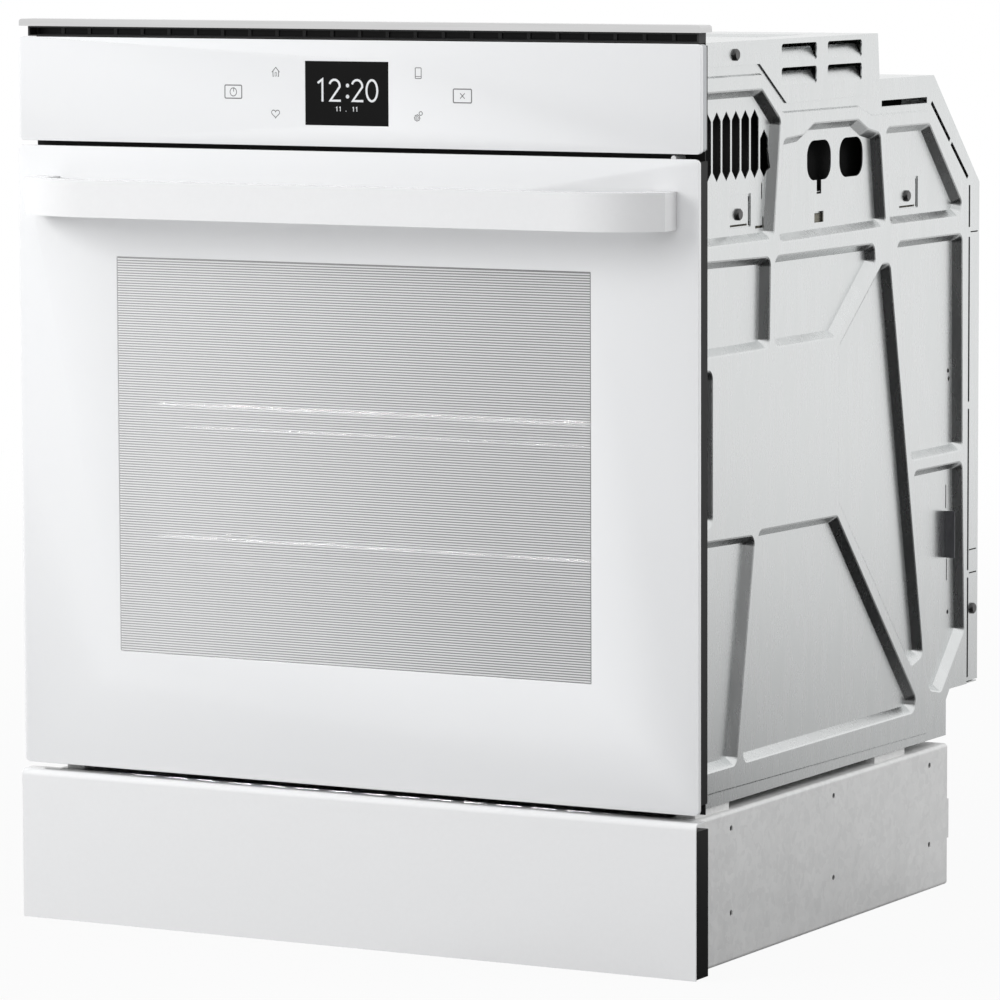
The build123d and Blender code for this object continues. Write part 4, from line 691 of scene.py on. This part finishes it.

# %% [markdown]
# ## The striped window
# The window is a grey, heat-reflecting pane printed with fine pale lines, nearly two millimetres apart. The
# pane lets a little of the racks behind it through, and both pane and lines are painted paler towards the
# left, a painted reflection. One line is modelled, and an Array modifier repeats it up the window.

# %% Window pane and stripes
# This fade paints the pane and the lines paler towards the left: a painted reflection.
left_painted_reflection = {"Zero at X": 0.20, "One at X": -0.20}
smoked = finish("smoked_window", fade, left_painted_reflection, grey(0.45), grey(0.70), (0.03, 0.06), Alpha=0.50,
                Coat_Weight=1.0, Coat_Roughness=0.02)
pane_set_back = Vector((0.0, 0.0004, 0.0))
window_pane = slab("door_window_pane", window_low + pane_set_back, window_high)
hand_over(window_pane, "door", smoked)

stripe_pitch = 0.00195
stripe_height = 0.00105
stripe_end_gap = 0.0006
stripe_front, stripe_back = window_low.y + 0.0002, window_low.y + 0.0005
first_stripe = window_low.z + stripe_pitch / 2
stripe_count = int((window_high.z - window_low.z) / stripe_pitch)
# Printed lines, painted paler towards the left by the same fade.
stripe_ink = finish("stripe_ink", fade, left_painted_reflection, grey(0.68), grey(0.80), (0.05, 0.1), Coat_Weight=1.0)
stripes = slab("window_stripes", (window_low.x + stripe_end_gap, stripe_front, first_stripe),
               (window_high.x - stripe_end_gap, stripe_back, first_stripe + stripe_height))
use_modifier(stripes, "ARRAY", count=stripe_count, use_relative_offset=False, use_constant_offset=True,
             constant_offset_displace=(0, 0, stripe_pitch))
hand_over(stripes, "door", stripe_ink)
print("stripes:", stripe_count)

# %% [markdown]
# ## The touch panel
# The panel is the same white glass, with a hole that a black screen fills, a little to the left of the solid
# display behind it. The screen shows the time in plain digits. Round it are generic signs printed in grey: a
# power key and a cancel key in frames, and four small ones without.

# %% Panel glass
panel_low, panel_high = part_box("control_glass")
display_low, display_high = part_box("display_screen")
screen_shift = Vector((-0.0021, 0, 0))
screen_low, screen_high = display_low + screen_shift, display_high + screen_shift
panel_glass = slab("panel_glass", panel_low, panel_high)
round_corners(panel_glass, panel_corner)
screen_hole_low = Vector((screen_low.x, panel_low.y, screen_low.z))
screen_hole_high = Vector((screen_high.x, panel_high.y, screen_high.z))
cut_with(panel_glass, slab("screen_cutter", screen_hole_low - cutter_reach, screen_hole_high + cutter_reach))
ease_edges(panel_glass, ease)
hand_over(panel_glass, "chassis", white_glass)
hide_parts("control_glass")
screen_set_back = Vector((0.0, 0.0001, 0.0))
screen_glass = slab("screen_glass", screen_hole_low + screen_set_back, screen_hole_high)
hand_over(screen_glass, "chassis", display_black)

# %% [markdown]
# ## Printed signs
# A printed sign is made of thin lines on the glass, so it is drawn as with a pen. A stroke is a row of points
# set out by a simple rule, such as a circle or a heart. It starts as a grid of two rows of points, which are
# moved to either side of the line, and a Solidify modifier gives it the thickness of ink. In a closed stroke
# the first and last points meet and are merged.

# %% Pen strokes
ink_line = 0.00062
ink_depth = 0.00006
ink_y = panel_low.y
panel_middle_x = (panel_low.x + panel_high.x) / 2
base_z = panel_low.z


def stroke(points, width=ink_line, closed=False):
    """A flat line of this width through (x, z) points on the panel's glass."""
    points = [Vector(point) for point in points]
    if closed:
        points.append(points[0].copy())
    last = len(points) - 1
    left, right = [], []
    for k, point in enumerate(points):
        before = points[k - 1] if k else (points[last - 1] if closed else None)
        after = points[k + 1] if k < last else (points[1] if closed else None)
        into = (point - before).normalized() if before else (after - point).normalized()
        out = (after - point).normalized() if after else into
        normal = Vector((-(into.y + out.y), into.x + out.x)).normalized()
        reach = width / 2 / max(0.5, normal.dot(Vector((-into.y, into.x))))
        left.append(point + normal * reach)
        right.append(point - normal * reach)
    bpy.ops.object.select_all(action="DESELECT")
    bpy.ops.mesh.primitive_grid_add(x_subdivisions=last, y_subdivisions=1)
    line = bpy.context.object
    for vertex, corner in zip(line.data.vertices, left + right):
        vertex.co = (corner.x, ink_y, corner.y)
    return line


def join_as(name, shapes, material=None):
    """Joins strokes into one piece of ink with a thickness."""
    bpy.ops.object.select_all(action="DESELECT")
    for shape in shapes:
        shape.select_set(True)
    bpy.context.view_layer.objects.active = shapes[0]
    bpy.ops.object.join()
    piece = bpy.context.object
    piece.name = name
    bpy.ops.object.mode_set(mode="EDIT")
    bpy.ops.mesh.select_all(action="SELECT")
    bpy.ops.mesh.remove_doubles(threshold=same_place)
    bpy.ops.object.mode_set(mode="OBJECT")
    use_modifier(piece, "SOLIDIFY", thickness=ink_depth, offset=0.0)
    bpy.ops.object.mode_set(mode="EDIT")
    bpy.ops.mesh.select_all(action="SELECT")
    bpy.ops.mesh.normals_make_consistent(inside=False)
    bpy.ops.object.mode_set(mode="OBJECT")
    hand_over(piece, "chassis", material or grey_ink)
    return piece


def arc(x, z, rx, rz, start=0.0, whole=1.0, count=24):
    """Points on an ellipse, or on a part of one, clockwise from a start in turns from the top."""
    steps = count if whole == 1.0 else count - 1
    turns = [start + whole * k / steps for k in range(count)]
    return [(x + rx * math.sin(math.tau * t), z + rz * math.cos(math.tau * t)) for t in turns]


def framed(x, z, width, height, radius=0.0009):
    """Points of a rectangle with round corners."""
    points = []
    for index, (sx, sz) in enumerate(((1, 1), (1, -1), (-1, -1), (-1, 1))):
        middle_x, middle_z = x + sx * (width / 2 - radius), z + sz * (height / 2 - radius)
        points += arc(middle_x, middle_z, radius, radius, index / 4, 0.25, 4)
    return points


def place_of(dx, dz):
    """A spot on the panel from its middle and its lower edge."""
    return panel_middle_x + dx, base_z + dz


# %% [markdown]
# The signs' places are measured from the middle of the panel and from its lower edge. The frames of the two
# keys are a little bolder than the four signs between them.

# %% Signs
grey_ink = finish("grey_ink", grain, {"Size per metre": 900.0}, grey(0.13), grey(0.17), (0.25, 0.35))
frame_line = 0.00085

x, z = place_of(-0.1023, 0.0403)
join_as("power_sign", [
    stroke(framed(x, z, 0.0150, 0.0100), frame_line, closed=True),
    stroke(arc(x, z - 0.0002, 0.0029, 0.0031), closed=True),
    stroke([(x + 0.0003, z), (x + 0.0003, z + 0.0029)])])

x, z = place_of(-0.0644, 0.0559)
half = 0.0034
join_as("house_sign", [
    stroke([(x - half, z - 0.1 * half), (x, z + half), (x + half, z - 0.1 * half)]),
    stroke([(x - 0.72 * half, z + 0.1 * half), (x - 0.72 * half, z - half), (x - 0.5 * half, z - half)]),
    stroke([(x + 0.72 * half, z + 0.1 * half), (x + 0.72 * half, z - half), (x + 0.5 * half, z - half)]),
    stroke(framed(x, z - 0.55 * half, 0.0013, 0.0028, 0.0003), 0.0004, closed=True)])

x, z = place_of(-0.0648, 0.0243)
heart_points = 36
heart_wide, heart_high = 0.000225, 0.00021
heart = []
for k in range(heart_points):
    t = math.tau * (k + 0.5) / heart_points
    across = 16 * math.sin(t) ** 3
    up = 13 * math.cos(t) - 5 * math.cos(2 * t) - 2 * math.cos(3 * t) - math.cos(4 * t)
    heart.append((x + heart_wide * across, z + heart_high * up))
join_as("heart_sign", [stroke(heart, closed=True)])

x, z = place_of(0.0602, 0.0564)
join_as("tablet_sign", [
    stroke(framed(x, z, 0.0051, 0.0080, 0.0005), closed=True),
    stroke([(x - 0.0023, z - 0.0025), (x + 0.0023, z - 0.0025)], 0.0005)])

x, z = place_of(0.0601, 0.0239)
gear_x, gear_z = x - 0.0010, z - 0.0010
tooth_tip, tooth_root = 0.0024, 0.0020
gear_points = 32
teeth = []
for k in range(gear_points):
    turn_share = math.tau * k / gear_points
    reach = tooth_tip if k % 4 < 2 else tooth_root
    teeth.append((gear_x + reach * math.sin(turn_share), gear_z + reach * math.cos(turn_share)))
join_as("gears_sign", [
    stroke(teeth, closed=True),
    stroke(arc(gear_x, gear_z, 0.0010, 0.0010, count=14), 0.0005, closed=True),
    stroke(arc(x + 0.0021, z + 0.0024, 0.0014, 0.0014, count=16), 0.0006, closed=True)])

x, z = place_of(0.0981, 0.0399)
cross = 0.0020
join_as("cancel_sign", [
    stroke(framed(x, z, 0.0156, 0.0102), frame_line, closed=True),
    stroke([(x - cross, z - cross), (x + cross, z + cross)]),
    stroke([(x - cross, z + cross), (x + cross, z - cross)])])

# %% [markdown]
# ## The clock
# The digits are drawn with the same pen: thin, upright and a little narrow. They glow, so that they read at
# any light. Each digit is a list of strokes in a box one high, and `write` places a row of them.

# %% Clock digits
lit_digits = finish("lit_digits", grain, {"Size per metre": 200.0}, grey(0.50), grey(0.55), (0.4, 0.5),
                    Emission_Color=(0.90, 0.95, 1.0, 1.0), Emission_Strength=0.25)
digit_strokes = {
    "0": [(arc(0.32, 0.5, 0.27, 0.455, count=36), True)],
    "1": [([(0.10, 0.80), (0.34, 0.96), (0.34, 0.0)], False)],
    "2": [(arc(0.29, 0.68, 0.26, 0.27, -0.20, 0.47, 16) + [(0.07, 0.045), (0.60, 0.045)], False)],
    ":": [(arc(0.12, 0.23, 0.035, 0.035, count=10), True), (arc(0.12, 0.71, 0.035, 0.035, count=10), True)],
    ".": [(arc(0.12, 0.05, 0.02, 0.02, count=8), True)],
    " ": []}


def write(name, words, starts, dz, height, pen):
    """Writes digits on the display, each starting at its own place across."""
    lines = []
    for sign, start in zip(words, starts):
        x, z = place_of(start, dz)
        for points, closed in digit_strokes[sign]:
            lines.append(stroke([(x + px * height, z + pz * height) for px, pz in points], pen, closed))
    return join_as(name, lines, lit_digits)


clock_starts = [-0.0292, -0.0177, -0.0034, 0.0020, 0.0144]
clock_z, clock_height, clock_pen = 0.0340, 0.0174, 0.0017
write("clock_digits", "12:20", clock_starts, clock_z, clock_height, clock_pen)
date_first, date_step = -0.0118, 0.0029
date_z, date_height, date_pen = 0.0268, 0.0034, 0.0006
date_text = "11 . 11"
date_starts = [date_first + date_step * k for k in range(len(date_text))]
write("date_digits", date_text, date_starts, date_z, date_height, date_pen)

# %% [markdown]
# ## Front lips of the racks
# A rack's slats end in front in a lip: each bends down to a second cross wire below the first, which stops
# the rack from tipping. A lip is one long wire and a row of short ones. One short wire is modelled, and the
# others are copies of it, each with its own mesh, moved along the row.

# %% Rack lips
lip_wire = 0.0018
cross_wire = lip_wire * 1.2
wire_ease = 0.4
wire_sides = 10
lip_drop = 0.0165
lip_inset = 0.031
loop_radius = 0.003
slat_total = 19


def wire(name, start, end, radius):
    """A thin round wire between two points, with rounded ends."""
    start, end = Vector(start), Vector(end)
    bpy.ops.object.select_all(action="DESELECT")
    bpy.ops.mesh.primitive_cylinder_add(vertices=wire_sides, radius=radius, depth=(end - start).length,
                                        location=(start + end) / 2,
                                        rotation=(end - start).to_track_quat("Z", "Y").to_euler())
    piece = bpy.context.object
    piece.name = name
    bpy.ops.object.transform_apply(location=True, rotation=True, scale=True)
    ease_edges(piece, radius * wire_ease)
    return piece


def copy_along(piece, step_x):
    """A copy of a piece with its own mesh, moved to the right."""
    twin = piece.copy()
    twin.data = piece.data.copy()
    twin.data.transform(Matrix.Translation((step_x, 0, 0)))
    bpy.context.scene.collection.objects.link(twin)
    return twin


def rack_lip(name, rack, body):
    """The lip under the front of a rack."""
    low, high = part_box(rack)
    y = low.y + loop_radius
    top = low.z + loop_radius
    bottom = top - lip_drop
    left, right = low.x + lip_inset, high.x - lip_inset
    pitch = (high.x - low.x) / (slat_total + 1)
    places = [low.x + pitch * k - pitch / 2 for k in range(2, slat_total + 1)]
    places = [x for x in places if left < x < right]
    short = wire("short_wire", (places[0], y, bottom), (places[0], y, top), lip_wire)
    wires = [wire(name, (left, y, bottom), (right, y, bottom), cross_wire), short]
    wires += [copy_along(short, x - places[0]) for x in places[1:]]
    bpy.ops.object.select_all(action="DESELECT")
    for piece in wires:
        piece.select_set(True)
    bpy.context.view_layer.objects.active = wires[0]
    bpy.ops.object.join()
    hand_over(wires[0], body, chrome)


rack_lip("lower_rack_lip", "rack_lower", "lower_rack")
rack_lip("upper_rack_lip", "rack_upper", "upper_rack")

# %% [markdown]
# ## Shade sheets
# Behind the slots and holes high on the sides, two near-black sheets are painted shade for the dark inside
# the oven. They stand on the deck and keep anyone from seeing through the oven from one side to the other.

# %% Shade sheets
deck_low, deck_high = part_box("top_plate")
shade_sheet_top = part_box("rear_cover")[1].z - 0.003
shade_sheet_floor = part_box("blower_housing")[0].z + 0.0006
shade_sheet_front, shade_sheet_back = deck_low.y + 0.004, deck_high.y - 0.090
shade_sheet_face, shade_sheet_thickness = deck_high.x - 0.010, 0.002
shade_sheet_ease = 0.0004
# A near-black sheet standing in for the shade inside the oven: painted shade.
shade_sheet_paint = finish("painted_shade_sheet", grain, {"Size per metre": 500.0, "Detail": 4.0},
                     grey(0.006), grey(0.016), (0.9, 1.0), 0.0002, Specular_IOR_Level=0.1)
for side, name in ((1, "shade_sheet_right"), (-1, "shade_sheet_left")):
    edges = sorted((side * shade_sheet_face, side * (shade_sheet_face - shade_sheet_thickness)))
    shade_sheet = slab(name, (edges[0], shade_sheet_front, shade_sheet_floor), (edges[1], shade_sheet_back, shade_sheet_top))
    use_modifier(shade_sheet, "BEVEL", width=shade_sheet_ease, segments=2)
    hand_over(shade_sheet, "chassis", shade_sheet_paint)

# %% [markdown]
# ## Light in the cavity
# Light from the room falls into the cavity through the window. A narrow strip under the cavity's roof stands
# in for it. It shines straight down, just in front of the racks, so that their front wires show faintly
# through the striped window. Neither the camera nor a reflection shows the strip itself.

# %% Oven light
rack_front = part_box("rack_upper")[0].y
liner_low, liner_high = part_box("oven_cavity")
strip_y = rack_front - 0.014
strip_z = liner_high.z - 0.018
strip_length, strip_width = 0.44, 0.008
strip_watts = 2.2
strip = soft_box("rack_strip_light", (0.0, strip_y, strip_z), (0.0, strip_y, liner_low.z),
                 strip_length, strip_watts)
strip.data.shape = "RECTANGLE"
strip.data.size_y = strip_width
strip.data.spread = math.radians(22)
strip.visible_camera = False
print("cavity lamp:", strip.name)
